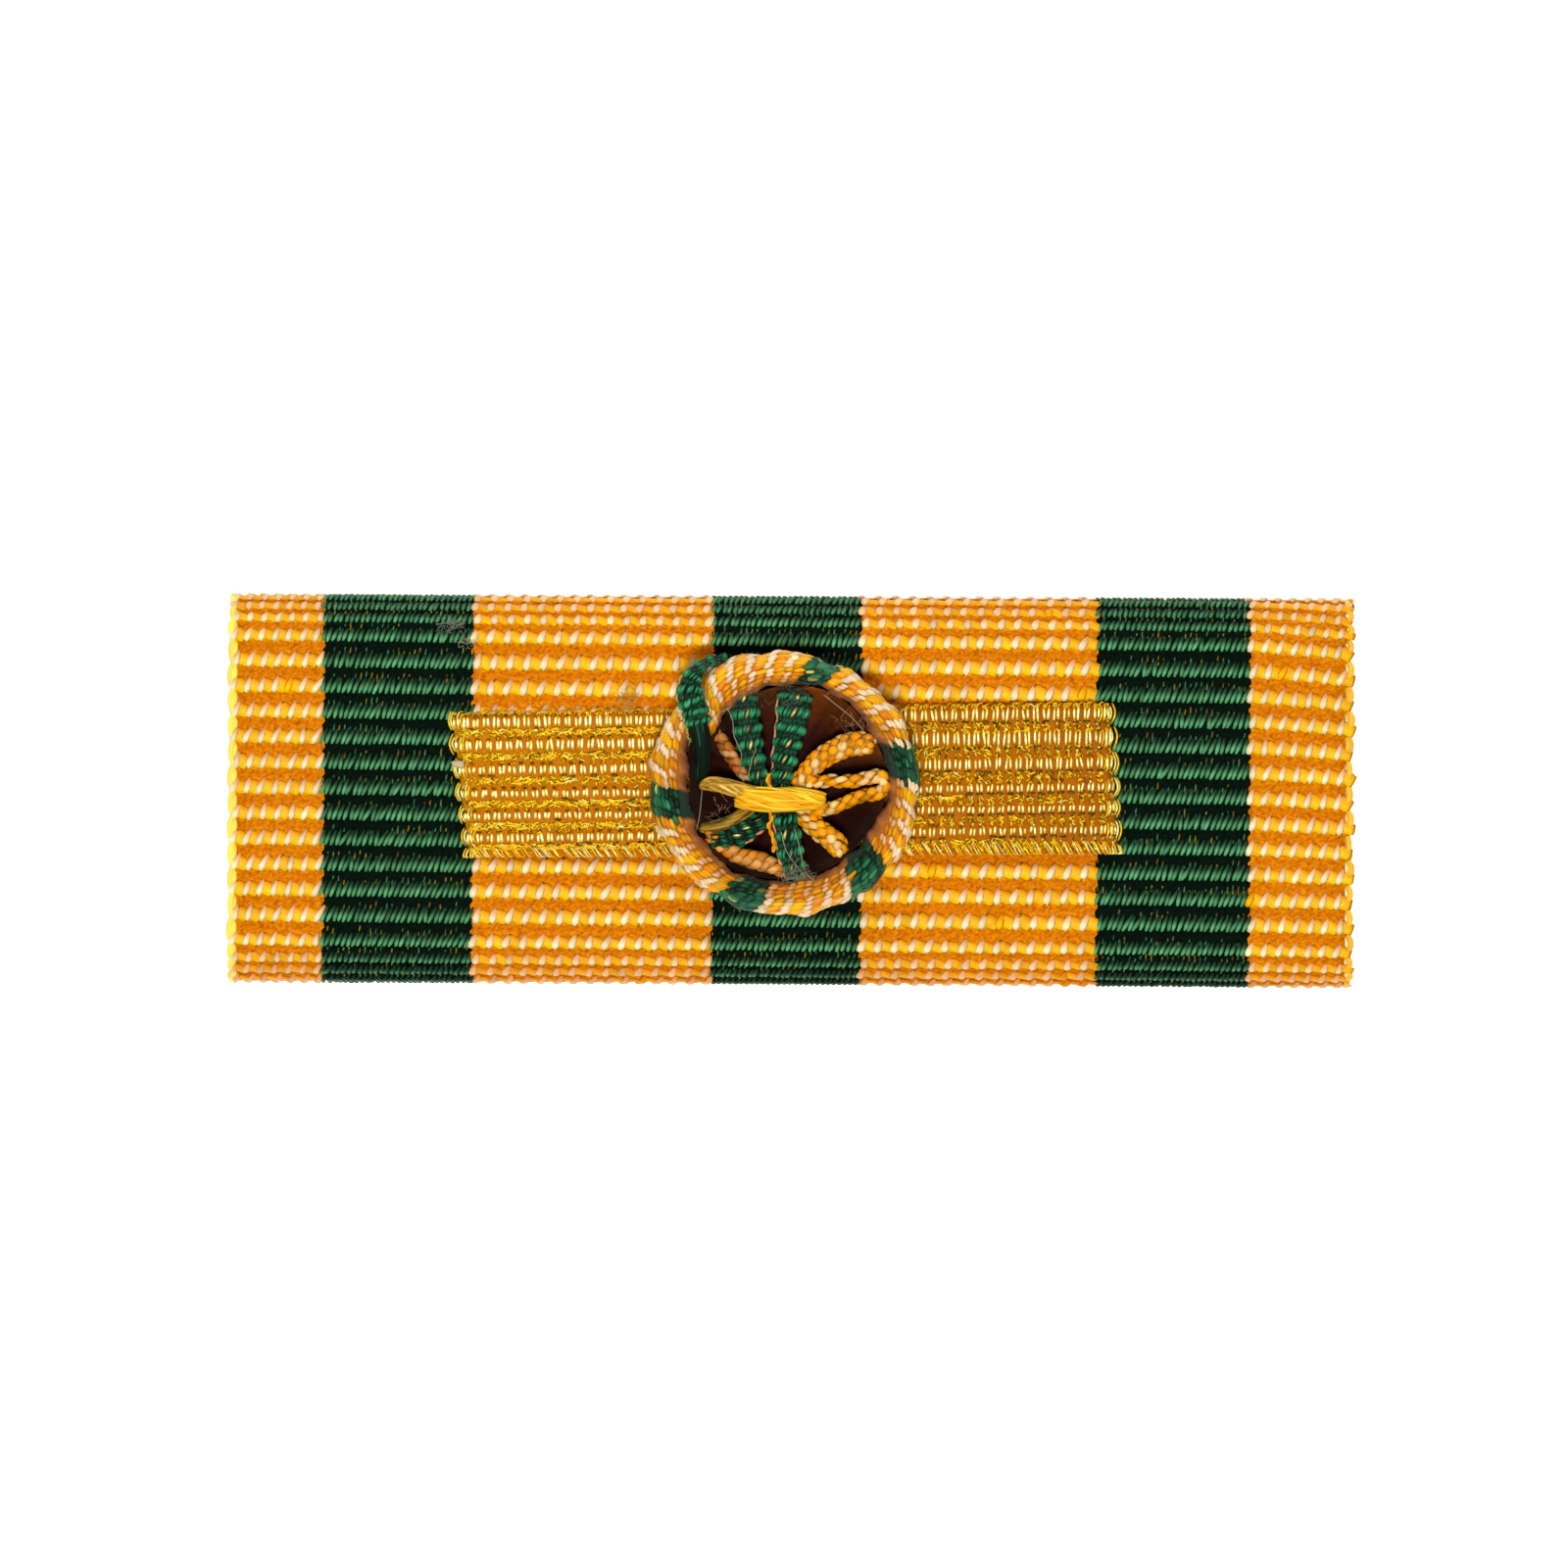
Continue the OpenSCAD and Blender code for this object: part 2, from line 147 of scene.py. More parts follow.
# Strands of the rosette by the name of their solid. Columns: x, y and width (shares of the
# rosette's radius), top (share of its height)
STRANDS = {
    "overlap_fold": [
        [-0.430, 0.940, 0.031, 0.55],
        [-0.543, 0.912, 0.066, 0.66],
        [-0.634, 0.854, 0.093, 0.82],
        [-0.693, 0.766, 0.146, 0.97],
        [-0.704, 0.645, 0.177, 1.03],
        [-0.669, 0.552, 0.177, 1.03],
        [-0.649, 0.464, 0.172, 1.02],
        [-0.631, 0.380, 0.168, 0.98],
        [-0.616, 0.276, 0.155, 0.92],
        [-0.609, 0.166, 0.141, 0.84],
        [-0.625, 0.055, 0.097, 0.74],
        [-0.640, -0.018, 0.035, 0.66],
    ],
    "pleat_green_upper_left": [
        [-0.159, -0.099, 0.093, 0.44],
        [-0.190, 0.022, 0.115, 0.56],
        [-0.243, 0.232, 0.168, 0.66],
        [-0.285, 0.442, 0.194, 0.73],
        [-0.309, 0.651, 0.185, 0.78],
    ],
    "pleat_green_upper_right": [
        [-0.022, -0.099, 0.110, 0.44],
        [-0.022, 0.022, 0.137, 0.57],
        [0.013, 0.243, 0.177, 0.69],
        [0.053, 0.453, 0.212, 0.77],
        [0.079, 0.662, 0.252, 0.82],
    ],
    "pleat_orange_upper_left": [
        [-0.232, -0.022, 0.057, 0.44],
        [-0.320, 0.088, 0.079, 0.52],
        [-0.386, 0.188, 0.088, 0.56],
        [-0.453, 0.291, 0.093, 0.60],
        [-0.525, 0.386, 0.088, 0.62],
    ],
    "pleat_yellow_left": [
        [-0.188, -0.093, 0.110, 0.78],
        [-0.265, -0.071, 0.110, 0.78],
        [-0.353, -0.042, 0.110, 0.76],
        [-0.453, -0.018, 0.106, 0.75],
        [-0.547, 0.000, 0.093, 0.74],
        [-0.631, -0.022, 0.035, 0.71],
    ],
    "pleat_olive_left": [
        [-0.210, -0.137, 0.088, 0.74],
        [-0.276, -0.199, 0.084, 0.70],
        [-0.353, -0.256, 0.084, 0.66],
        [-0.442, -0.305, 0.088, 0.64],
        [-0.521, -0.331, 0.088, 0.63],
        [-0.631, -0.336, 0.057, 0.62],
    ],
    "pleat_green_lower_left": [
        [-0.093, -0.177, 0.097, 0.46],
        [-0.183, -0.274, 0.128, 0.58],
        [-0.269, -0.342, 0.137, 0.66],
        [-0.353, -0.397, 0.150, 0.69],
        [-0.464, -0.437, 0.124, 0.69],
        [-0.541, -0.453, 0.088, 0.66],
    ],
    "pleat_green_bottom": [
        [-0.007, -0.155, 0.132, 0.48],
        [0.011, -0.254, 0.163, 0.58],
        [0.031, -0.386, 0.177, 0.66],
        [0.053, -0.519, 0.177, 0.72],
        [0.079, -0.640, 0.155, 0.75],
        [0.097, -0.706, 0.124, 0.76],
    ],
    "pleat_orange_upper_right": [
        [0.044, -0.088, 0.088, 0.46],
        [0.108, -0.004, 0.121, 0.56],
        [0.166, 0.079, 0.132, 0.64],
        [0.230, 0.148, 0.141, 0.71],
        [0.316, 0.216, 0.150, 0.77],
        [0.397, 0.258, 0.159, 0.82],
        [0.483, 0.291, 0.163, 0.85],
        [0.570, 0.305, 0.163, 0.87],
        [0.656, 0.283, 0.132, 0.86],
    ],
    "loop_orange_right": [
        [0.110, -0.055, 0.075, 0.54],
        [0.183, 0.000, 0.084, 0.62],
        [0.252, 0.009, 0.088, 0.69],
        [0.340, 0.022, 0.088, 0.76],
        [0.444, 0.015, 0.088, 0.81],
        [0.541, 0.026, 0.088, 0.85],
        [0.640, 0.044, 0.093, 0.88],
        [0.715, 0.060, 0.093, 0.90],
        [0.751, 0.004, 0.088, 0.90],
        [0.720, -0.060, 0.093, 0.89],
        [0.656, -0.077, 0.093, 0.87],
        [0.570, -0.093, 0.088, 0.84],
        [0.494, -0.124, 0.088, 0.80],
        [0.408, -0.163, 0.088, 0.75],
        [0.340, -0.188, 0.088, 0.70],
        [0.265, -0.199, 0.084, 0.64],
        [0.177, -0.188, 0.075, 0.56],
    ],
    "pleat_orange_lower_right": [
        [0.066, -0.155, 0.097, 0.48],
        [0.137, -0.221, 0.124, 0.56],
        [0.194, -0.285, 0.137, 0.61],
        [0.269, -0.353, 0.146, 0.66],
        [0.351, -0.408, 0.150, 0.69],
        [0.402, -0.464, 0.146, 0.71],
        [0.419, -0.534, 0.110, 0.70],
    ],
    "tucked_end": [
        [-0.578, -0.380, 0.057, 0.60],
        [-0.475, -0.468, 0.084, 0.66],
        [-0.353, -0.534, 0.097, 0.68],
        [-0.221, -0.570, 0.106, 0.70],
        [-0.110, -0.600, 0.102, 0.69],
        [-0.011, -0.667, 0.075, 0.66],
    ],
    "centre_stitch": [
        [-0.430, -0.110, 0.053, 0.66],
        [-0.358, -0.113, 0.110, 0.74],
        [-0.265, -0.117, 0.150, 0.81],
        [-0.110, -0.121, 0.168, 0.84],
        [0.044, -0.121, 0.168, 0.84],
        [0.177, -0.121, 0.150, 0.82],
        [0.265, -0.121, 0.119, 0.77],
        [0.320, -0.121, 0.075, 0.70],
    ],
}

# Thin thread at the stitch, above and below it. Columns: x and y in mm from the rosette's
# middle, height above the ribbon's face
THIN_THREAD = [
    [[-0.51, 0.34, 2.35], [-0.55, 0.10, 2.45], [-0.46, -0.16, 2.52], [-0.44, -0.40, 2.30]],
    [[-0.44, -0.70, 2.30], [-0.46, -0.97, 2.48], [-0.43, -1.24, 2.40], [-0.51, -1.44, 2.40],
     [-0.40, -1.76, 2.42], [-0.33, -2.02, 2.48], [-0.36, -2.35, 2.55]],
]

# Loose fibres. Columns: x and y in mm from the rosette's middle, height above the ribbon's face
FIBRES = {
    "over the upper left pleat": [
        [-2.0, 3.1, 3.0], [-1.95, 2.6, 2.6], [-1.75, 2.15, 2.5], [-1.7, 1.6, 2.55],
        [-1.45, 1.0, 2.45], [-1.5, 0.5, 2.35], [-1.35, 0.0, 2.3]],
    "beside the upper left pleat": [
        [-1.25, 0.1, 2.35], [-1.1, 0.75, 2.4], [-0.95, 1.35, 2.2], [-1.3, 1.9, 2.2]],
    "along the rim's inner left edge": [
        [-3.0, 1.2, 2.7], [-2.6, 1.9, 2.9], [-2.3, 2.3, 3.05], [-1.8, 2.55, 3.0]],
    "along the rim's inner right edge": [
        [1.3, 3.0, 3.0], [1.75, 2.65, 3.15], [2.3, 2.2, 3.15], [2.7, 1.75, 3.0]],
    "down the left side": [
        [-2.75, 0.0, 2.0], [-2.8, -0.6, 2.1], [-2.85, -1.1, 2.2], [-2.95, -1.6, 2.3]],
    "at the foot of the bottom pleat": [
        [-0.1, -1.6, 2.5], [0.1, -2.3, 2.65], [0.45, -2.8, 2.7], [0.75, -3.2, 2.75]],
    "beside the bottom pleat": [
        [0.35, -1.5, 2.4], [0.55, -2.2, 2.4], [0.7, -2.9, 2.6], [1.05, -3.3, 2.7]],
    "under the stitch": [
        [-1.75, -0.15, 2.3], [-1.45, -0.4, 2.5], [-1.0, -0.45, 2.75]],
}

# Pale flake on the lace's left end. Columns: as for the fibres
FLAKE = [[-11.32, 0.66, 0.62], [-11.22, 0.62, 0.64], [-11.08, 0.60, 0.64],
         [-10.92, 0.56, 0.63], [-10.80, 0.54, 0.60]]

# Frayed places. Columns: x and y in mm from the rosette's middle, height above the ribbon's
# face, reach, number of fibres, colour
FUZZ = (
    (0.45, -3.1, 2.72, 0.42, 90, "8C8A68"),
    (-1.40, 2.85, 2.6, 0.45, 50, "1E3A2C"),
    (0.35, 2.9, 2.75, 0.5, 60, "2C5A40"),
    (2.5, 1.9, 2.9, 0.6, 24, "A06C34"),
    (-2.2, -1.0, 2.2, 0.6, 16, "8A6A30"),
    (-2.7, 3.9, 2.8, 0.4, 20, "2C4A3C"),
    (1.6, 3.4, 3.0, 0.5, 16, "A87444"),
    (-11.3, 5.3, 0.28, 0.4, 34, "8C9A80"),
    (-10.9, 4.8, 0.28, 0.3, 20, "A8A078"),
    (-5.3, 2.75, 0.75, 0.4, 40, "D8B040"),
)


def linear(code):
    """Linear colour of a six-digit screen colour."""
    screen = np.array([int(code[i:i + 2], 16) for i in (0, 2, 4)]) / 255
    return tuple(np.where(screen <= 0.04045, screen / 12.92, ((screen + 0.055) / 1.055) ** 2.4))


def colour_property(name, description, code):
    """Property that holds a colour."""
    return bpy.props.FloatVectorProperty(
        name=name, description=description, subtype="COLOR", size=3, min=0, max=1,
        default=linear(code))


def size_property(name, description, default, low=0.0, high=100.0):
    """Property that holds a size in millimetres."""
    return bpy.props.FloatProperty(
        name=name, description=description, default=default, min=low, max=high)


def angle_property(name, description, degrees):
    """Property that holds an angle."""
    return bpy.props.FloatProperty(
        name=name, description=description, default=math.radians(degrees),
        subtype="ANGLE", unit="ROTATION")


def count_property(name, description, default, low):
    """Property that holds a whole number."""
    return bpy.props.IntProperty(name=name, description=description, default=default, min=low)


class RibbonSettings(bpy.types.PropertyGroup):
    """Sizes and colours of the striped ribbon, in millimetres"""
    rib_pitch: size_property("Rib pitch", "Distance from rib to rib", 0.864, 0.5, 1.5)
    rib_height: size_property("Rib height", "Height of a rib over its valleys", 0.14, 0.05, 0.3)
    cloth: size_property("Cloth", "Thickness of the cloth in a valley", 0.45, 0.3, 0.6)
    ends_gap: size_property("Ends gap", "Gap between the two ends behind the bar", 0.6, 0.1, 2)
    crest_shift: size_property("Crest shift", "Place of the middle rib up the face", -0.08, -1, 1)
    slope: size_property("Rib slope", "Fall of a rib for each unit to the right", 0.0062, -1, 1)
    float_length: size_property("Float length", "Length of a yarn over a rib", 0.55, 0.3, 0.9)
    slant: size_property("Slant", "Sideways lean of a yarn for each unit up", 0.42, 0, 1)
    orange: colour_property("Orange", "Cloth in the valleys of the orange stripes", "DE8000")
    yellow: colour_property("Yellow", "Yarns on the ribs of the orange stripes", "FFC000")
    pale: colour_property("Pale", "Pale yarns on the ribs of the orange stripes", "FFF0BE")
    # Tail: the pale yarns' upper ends in painted shade, where they go down into the valley
    tail: colour_property("Tail", "Upper ends of the pale yarns", "E69A58")
    green: colour_property("Green", "Yarns on the ribs of the green stripes", "62AE74")
    # Dark green: the green stripes' valley cloth, its own dark green darkened further by painted
    # shade
    shaded_dark_green: colour_property("Dark green", "Cloth in the valleys of the green stripes", "02120A")
    golden: colour_property("Golden", "Weft that shows between the green ribs", "A08418")
    selvedge: colour_property("Selvedge", "Loops along both ends of the bar", "FFE450")


class LaceSettings(bpy.types.PropertyGroup):
    """Sizes and colours of the gold lace, in millimetres"""
    length: size_property("Length", "Length of the piece", 22.3, 10, 30)
    height_left: size_property("Left height", "Height at the left end", 4.95, 2, 8)
    height_right: size_property("Right height", "Height at the right end", 5.55, 2, 8)
    place_x: size_property("Place along the bar", "From the bar's middle", -0.13, -5, 5)
    place_y: size_property("Place up the face", "From the bar's middle", 0.23, -5, 5)
    tilt: angle_property("Tilt", "Turn of the piece on the bar", 1)
    lean_left: angle_property("Left lean", "Lean of the left end", 6.2)
    lean_right: angle_property("Right lean", "Lean of the right end", 2.4)
    columns: count_property("Wire columns", "Pairs of wires across the piece", 65, 10)
    gold: colour_property("Gold", "Gilt wire", "FFCC08")
    # Pale gold: a painted highlight, where the gilt wire catches the light
    highlight_gold: colour_property("Pale gold", "Gilt wire where it is bright", "FFFBA8")
    amber: colour_property("Amber", "Silk under the wires", "D47604")
    shadow: colour_property("Shadow", "Silk in the grooves", "CC8C02")
    # Tarnish: dark olive, used as painted shade at the bright wires' ends and in the bits beside
    # the pairs, and for a few dark dashes
    tarnish_and_shade: colour_property("Tarnish", "Ends of the wires", "6A5008")


class RosetteSettings(bpy.types.PropertyGroup):
    """Sizes and colours of the rosette, in millimetres"""
    diameter: size_property("Diameter", "Outer diameter of the rolled rim", 9.06, 5, 15)
    place_x: size_property("Place along the bar", "From the bar's middle", -0.23, -5, 5)
    place_y: size_property("Place up the face", "From the bar's middle", 0.25, -5, 5)
    pleat_depth: size_property("Pleat depth", "Crest to lower edge of a pleat", 0.85, 0.3, 1.5)
    columns: count_property("Yarn columns", "Columns of yarn round the rim", 74, 20)
    row_pitch: size_property("Row pitch", "Distance from row to row over the rim", 0.29, 0.1, 0.8)
    orange: colour_property("Orange", "Orange yarn", "F08C00")
    yellow: colour_property("Yellow", "Yellow yarn", "FFB600")
    pale: colour_property("Pale", "Pale yarn", "FCDCAE")
    salmon: colour_property("Salmon", "Selvedge of the green pleats", "E09A72")
    green: colour_property("Green", "Green yarn", "36A068")
    fleck: colour_property("Fleck", "Yellow flecks in the green pleats", "D2C468")
    brown: colour_property("Inner cloth", "Cloth inside the rim", "D06A06")
    # Bowl: the cloth at the bottom of the bowl darkened to maroon with painted shade
    shaded_maroon: colour_property("Bowl", "Cloth at the bottom of the bowl", "2A0402")


class StageSettings(bpy.types.PropertyGroup):
    """Camera, floor and light"""
    frame_width: size_property("Frame width", "Width of the picture on the face, in mm", 53.25)
    aim_x: size_property("Aim along the bar", "Middle of the picture, in mm", -0.233, -50, 50)
    aim_y: size_property("Aim up the face", "Middle of the picture, in mm", 0.226, -50, 50)
    camera_height: size_property("Camera height", "Above the floor, in mm", 420, 100, 2000)
    roll: angle_property("Roll", "Turn of the picture", 0.3)
    key_power: size_property("Key power", "Power of the light beside the camera", 1.5, 0, 20)
    fill_power: size_property("Fill power", "Power of the soft upper light", 0.40, 0, 20)
    surround: size_property("Surround", "Strength of the light from all sides", 0.15, 0, 5)
    floor: colour_property("Floor", "Colour of floor and backdrop", "FAFAFA")


def smooth_rows(rows, at):
    """Rows of a table at fractional row numbers, on Catmull-Rom curves through the rows."""
    rows = np.asarray(rows, float)
    last = len(rows) - 1
    k = np.clip(np.floor(at).astype(int), 0, last - 1)
    t = (at - k)[..., None]
    a, b = rows[np.maximum(k - 1, 0)], rows[k]
    c, d = rows[k + 1], rows[np.minimum(k + 2, last)]
    return (2 * b + (c - a) * t + (2 * a - 5 * b + 4 * c - d) * t ** 2
            + (3 * b - a - 3 * c + d) * t ** 3) / 2


def unit(vectors):
    """Vectors scaled to length one."""
    return vectors / np.maximum(np.linalg.norm(vectors, axis=-1, keepdims=True), 1e-12)


def swelling(t, power):
    """Thickness along a thread from -1 to 1 as a share, sqrt(1 - |t|^power): blunt ends for a
    high power."""
    return np.sqrt(np.clip(1 - np.abs(t) ** power, 0, 1))


def blunt(points, power):
    """Places from -1 to 1 along a thread, closer at its ends, and its swelling there."""
    t = np.sin(np.linspace(-np.pi / 2, np.pi / 2, points))[None]
    return t, swelling(t, power)


def squared(c, square):
    """Coordinate from 0 to 1 on a rounded square, for a cosine or sine."""
    return 0.5 + 0.5 * np.sign(c) * np.abs(c) ** (2 / square)


def combinations(*lists):
    """Every combination of the lists' values, as one column for each list."""
    return (grid.reshape(-1, 1) for grid in np.meshgrid(*lists, indexing="ij"))


def distances(points):
    """Distance along a line of points from its first point to each of them."""
    steps = np.linalg.norm(np.diff(points, axis=-2), axis=-1)
    return np.concatenate([np.zeros_like(steps[..., :1]), np.cumsum(steps, axis=-1)], axis=-1)


def together(*values):
    """Coordinates of different lengths as one array with the coordinates last."""
    return np.stack(np.broadcast_arrays(*values), -1)


def blend(low, high, share):
    """Value or colour between low at share 0 and high at share 1."""
    return np.array(low) * (1 - share) + np.array(high) * share


class Sheaf:
    """Threads and surfaces of one piece, gathered as arrays before they become one mesh."""

    def __init__(self, seed=0):
        self.points, self.triangles, self.colours, self.uvs = [], [], [], []
        self.count = 0
        self.random = np.random.default_rng(seed)

    def variation(self, n):
        """Function that gives a column of n normal random numbers with a spread."""
        return lambda spread: self.random.normal(0, spread, (n, 1))

    def add(self, points, triangles, colours, uvs):
        """Adds points (n, 3) in mm with their triangles, colours (n, 3) and uvs (n, 2)."""
        self.points.append(points.reshape(-1, 3))
        self.triangles.append(triangles.reshape(-1, 3) + self.count)
        self.colours.append(np.broadcast_to(colours, points.shape).reshape(-1, 3))
        self.uvs.append(uvs.reshape(-1, 2))
        self.count += len(self.points[-1])

    def tube(self, points, colours, uvs):
        """Adds a closed tube from the grid of its rings."""
        self.add(points, tube_triangles(*points.shape[:2]), colours, uvs)

    def strip(self, top, under, top_colours, under_colours, uvs):
        """Adds a closed strip from the grids of its top and of its underside."""
        points, colours, uvs = (np.concatenate([a, b[:, ::-1]], axis=1) for a, b in (
            (top, under), (top_colours, under_colours), (uvs, uvs)))
        self.add(points, strip_triangles(*top.shape[:2]), colours, uvs)

    def threads(self, path, lift, half_width, half_height, colours, sides=6):
        """Adds closed spindles along n paths of k points at once.

        Each ring is an ellipse across its path: across = path direction x lift, and the
        point at angle a is path + across * half width * cos a + up * half height * sin a.
        The first and last points are the poles. Each thread's map starts at a random
        place, so that neighbours differ."""
        n, k = path.shape[:2]
        forward = unit(np.gradient(path, axis=1))
        across = unit(np.cross(forward, np.broadcast_to(lift, path.shape)))
        up = np.cross(across, forward)
        angle = 2 * np.pi * np.arange(sides)[:, None] / sides
        wide = np.broadcast_to(half_width, (n, k))[:, 1:-1, None, None]
        high = np.broadcast_to(half_height, (n, k))[:, 1:-1, None, None]
        rings = (path[:, 1:-1, None] + across[:, 1:-1, None] * wide * np.cos(angle)
                 + up[:, 1:-1, None] * high * np.sin(angle)).reshape(n, -1, 3)
        start = self.random.random((n, 1)) * THREAD_MAP_SPREAD
        u = around_rings(distances(path) + start, sides)
        v = np.concatenate([[0.5], np.tile(np.arange(sides) / sides, k - 2), [0.5]])
        self.add(np.concatenate([path[:, :1], rings, path[:, -1:]], axis=1),
                 many(spindle_triangles(k - 2, sides), n, 2 + (k - 2) * sides),
                 around_rings(np.broadcast_to(colours, path.shape), sides), together(u, v))

    def make(self, name, material, slot, replaces=()):
        """The mesh object, riding on the bar's body."""
        points = np.concatenate(self.points) * MM
        triangles = np.concatenate(self.triangles)
        obj = new_mesh(name, points, triangles)
        corner = triangles.ravel()
        tint = obj.data.color_attributes.new("tint", "FLOAT_COLOR", "POINT")
        colours = np.clip(np.concatenate(self.colours), 0, 1)
        tint.data.foreach_set("color", np.c_[colours, np.ones(len(colours))].ravel())
        layer = obj.data.uv_layers.new(name="thread")
        layer.data.foreach_set("uv", np.concatenate(self.uvs)[corner].ravel())
        obj.data.materials.append(material)
        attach(obj, BODY)
        if replaces:
            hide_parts(*replaces)
        return obj


def around_rings(values, sides):
    """Values at a path's points, repeated for each side of its rings but not at its poles."""
    rings = np.repeat(values[:, 1:-1], sides, axis=1)
    return np.concatenate([values[:, :1], rings, values[:, -1:]], axis=1)


def spindle_triangles(rings, sides):
    """Triangles of one closed spindle: a fan, bands between the rings, and a fan."""
    first = np.arange(sides) + 1
    following = first % sides + 1
    tail = (rings - 1) * sides
    last = 1 + rings * sides
    return np.concatenate([together(0, first, following),
                           band_triangles(rings, sides, wrap=True) + 1,
                           together(last, tail + following, tail + first)])


def many(triangles, copies, stride):
    """The same triangles for a number of copies of a point set."""
    return triangles[None] + (np.arange(copies) * stride)[:, None, None]


def band_triangles(rows, columns, wrap=False):
    """Triangles of a grid of rows and columns, closed across the columns if wrap is set."""
    i = np.arange(rows - 1)[:, None]
    j = np.arange(columns if wrap else columns - 1)
    a, b = i * columns + j, i * columns + (j + 1) % columns
    d, c = a + columns, b + columns
    return np.concatenate([together(a, d, b).reshape(-1, 3), together(b, d, c).reshape(-1, 3)])


def closed_triangles(rows, columns, cap):
    """Triangles of a band closed across its columns, with a cap on its first and last row."""
    sides = band_triangles(rows, columns, wrap=True)
    return np.concatenate([sides, cap, cap[:, ::-1] + (rows - 1) * columns])


def tube_triangles(rows, columns):
    """Triangles of a closed tube that runs along its rows, each end closed by a fan."""
    fan = np.arange(1, columns - 1)
    return closed_triangles(rows, columns, together(0, fan, fan + 1))[:, ::-1]


def strip_triangles(rows, columns):
    """Triangles of a closed strip: each row goes over its top and back along its underside."""
    i = np.arange(columns - 1)
    back = 2 * columns - 1 - i
    cap = np.concatenate([together(i, i + 1, back), together(i + 1, back - 1, back)])
    return closed_triangles(rows, 2 * columns, cap)


def new_mesh(name, points, triangles):
    """Smooth mesh object from arrays of points in metres and of triangles."""
    mesh = bpy.data.meshes.new(name)
    mesh.vertices.add(len(points))
    mesh.vertices.foreach_set("co", points.astype(np.float32).ravel())
    mesh.loops.add(triangles.size)
    mesh.loops.foreach_set("vertex_index", triangles.astype(np.int32).ravel())
    mesh.polygons.add(len(triangles))
    mesh.polygons.foreach_set("loop_start", np.arange(0, triangles.size, 3, dtype=np.int32))
    mesh.polygons.foreach_set("use_smooth", np.ones(len(triangles), dtype=bool))
    mesh.update(calc_edges=True)
    mesh.validate()
    obj = bpy.data.objects.new(name, mesh)
    bpy.context.scene.collection.objects.link(obj)
    return obj


class Wrap:
    """Places on the ribbon, which goes up the back of the bar, over its top edge, down its
    face, round its bottom edge and up the back again."""

    def __init__(self, settings):
        self.s = settings
        self.half_length = (RIBBON_HIGH[0] - RIBBON_LOW[0]) / 2
        self.crest = (RIBBON_HIGH[2] - RIBBON_LOW[2]) / 2
        self.valley = self.crest - settings.rib_height
        self.middle = (RIBBON_HIGH[2] + RIBBON_LOW[2]) / 2
        self.flat = (RIBBON_HIGH[1] - RIBBON_LOW[1]) / 2 - self.crest
        self.back = self.flat - settings.ends_gap / 2
        self.edge = np.pi * self.crest
        self.run = 2 * self.back + 2 * self.edge + 2 * self.flat

    def at(self, x, along, radius):
        """Points and outward directions for places along the bar, along the ribbon and at a
        radius from the bar's middle line."""
        past_back = along - self.back
        past_top = past_back - self.edge
        past_face = past_top - 2 * self.flat
        past_bottom = past_face - self.edge
        turn = np.pi * (np.clip(past_back / self.edge, 0, 1)
                        + np.clip(past_face / self.edge, 0, 1))
        line = np.select([past_back < 0, past_bottom > 0],
                         [self.s.ends_gap / 2 + along, past_bottom - self.flat],
                         self.flat - np.clip(past_top, 0, 2 * self.flat))
        out = together(0 * turn, np.sin(turn), -np.cos(turn))
        points = together(x, line + radius * out[..., 1], self.middle + radius * out[..., 2])
        return points, out

    def crest_along(self, number, x):
        """Length along the ribbon of a rib's crest: the ribs fall a little to the right."""
        out = np.interp(np.abs(number), RIB_PLACES[:, 0], RIB_PLACES[:, 1])
        level = self.run / 2 - self.s.crest_shift + np.sign(number) * out
        return level + self.s.slope * x + self.droop(number, x)

    def droop(self, number, x):
        """Further fall of the ribs near the right end, more for the upper ones:
        0.26 share^1.4 for a share of the last 3.6 mm."""
        reach = 3.6
        share = np.clip((x - self.half_length + reach) / reach, 0, 1)
        return 0.26 * share ** 1.4 * np.clip(0.6 - number / 12, 0.15, 1)

    def phase(self, x, along):
        """Rib number as a fraction: whole numbers lie on crests. The second round corrects
        the first by the fall of the rib that it found."""
        number = 0
        for _ in range(2):
            away = along - self.crest_along(0, x) - self.droop(number, x) + self.droop(0, x)
            number = np.sign(away) * np.interp(np.abs(away), RIB_PLACES[:, 1], RIB_PLACES[:, 0])
        return number

    def closeness(self, number):
        """Local rib pitch as a share of the pitch on the face."""
        gap = self.crest_along(number + 0.5, 0) - self.crest_along(number - 0.5, 0)
        return gap / self.s.rib_pitch

    def lowered(self, number):
        """Share of the rib height that is left where the ribs lie closer."""
        return np.clip(1.6 * self.closeness(number) - 0.6, 0.3, 1)


def group(name, inputs, outputs):
    """New node group with named inputs (name, default) and outputs (name, socket kind)."""
    tree = bpy.data.node_groups.new(name, "ShaderNodeTree")
    for label, default in inputs:
        kind = "NodeSocketVector" if default is None else "NodeSocketFloat"
        socket = tree.interface.new_socket(label, in_out="INPUT", socket_type=kind)
        if default is not None:
            socket.default_value = default
    for label, kind in outputs:
        tree.interface.new_socket(label, in_out="OUTPUT", socket_type=kind)
    return Nodes(tree), tree.nodes.new("NodeGroupInput"), tree.nodes.new("NodeGroupOutput")


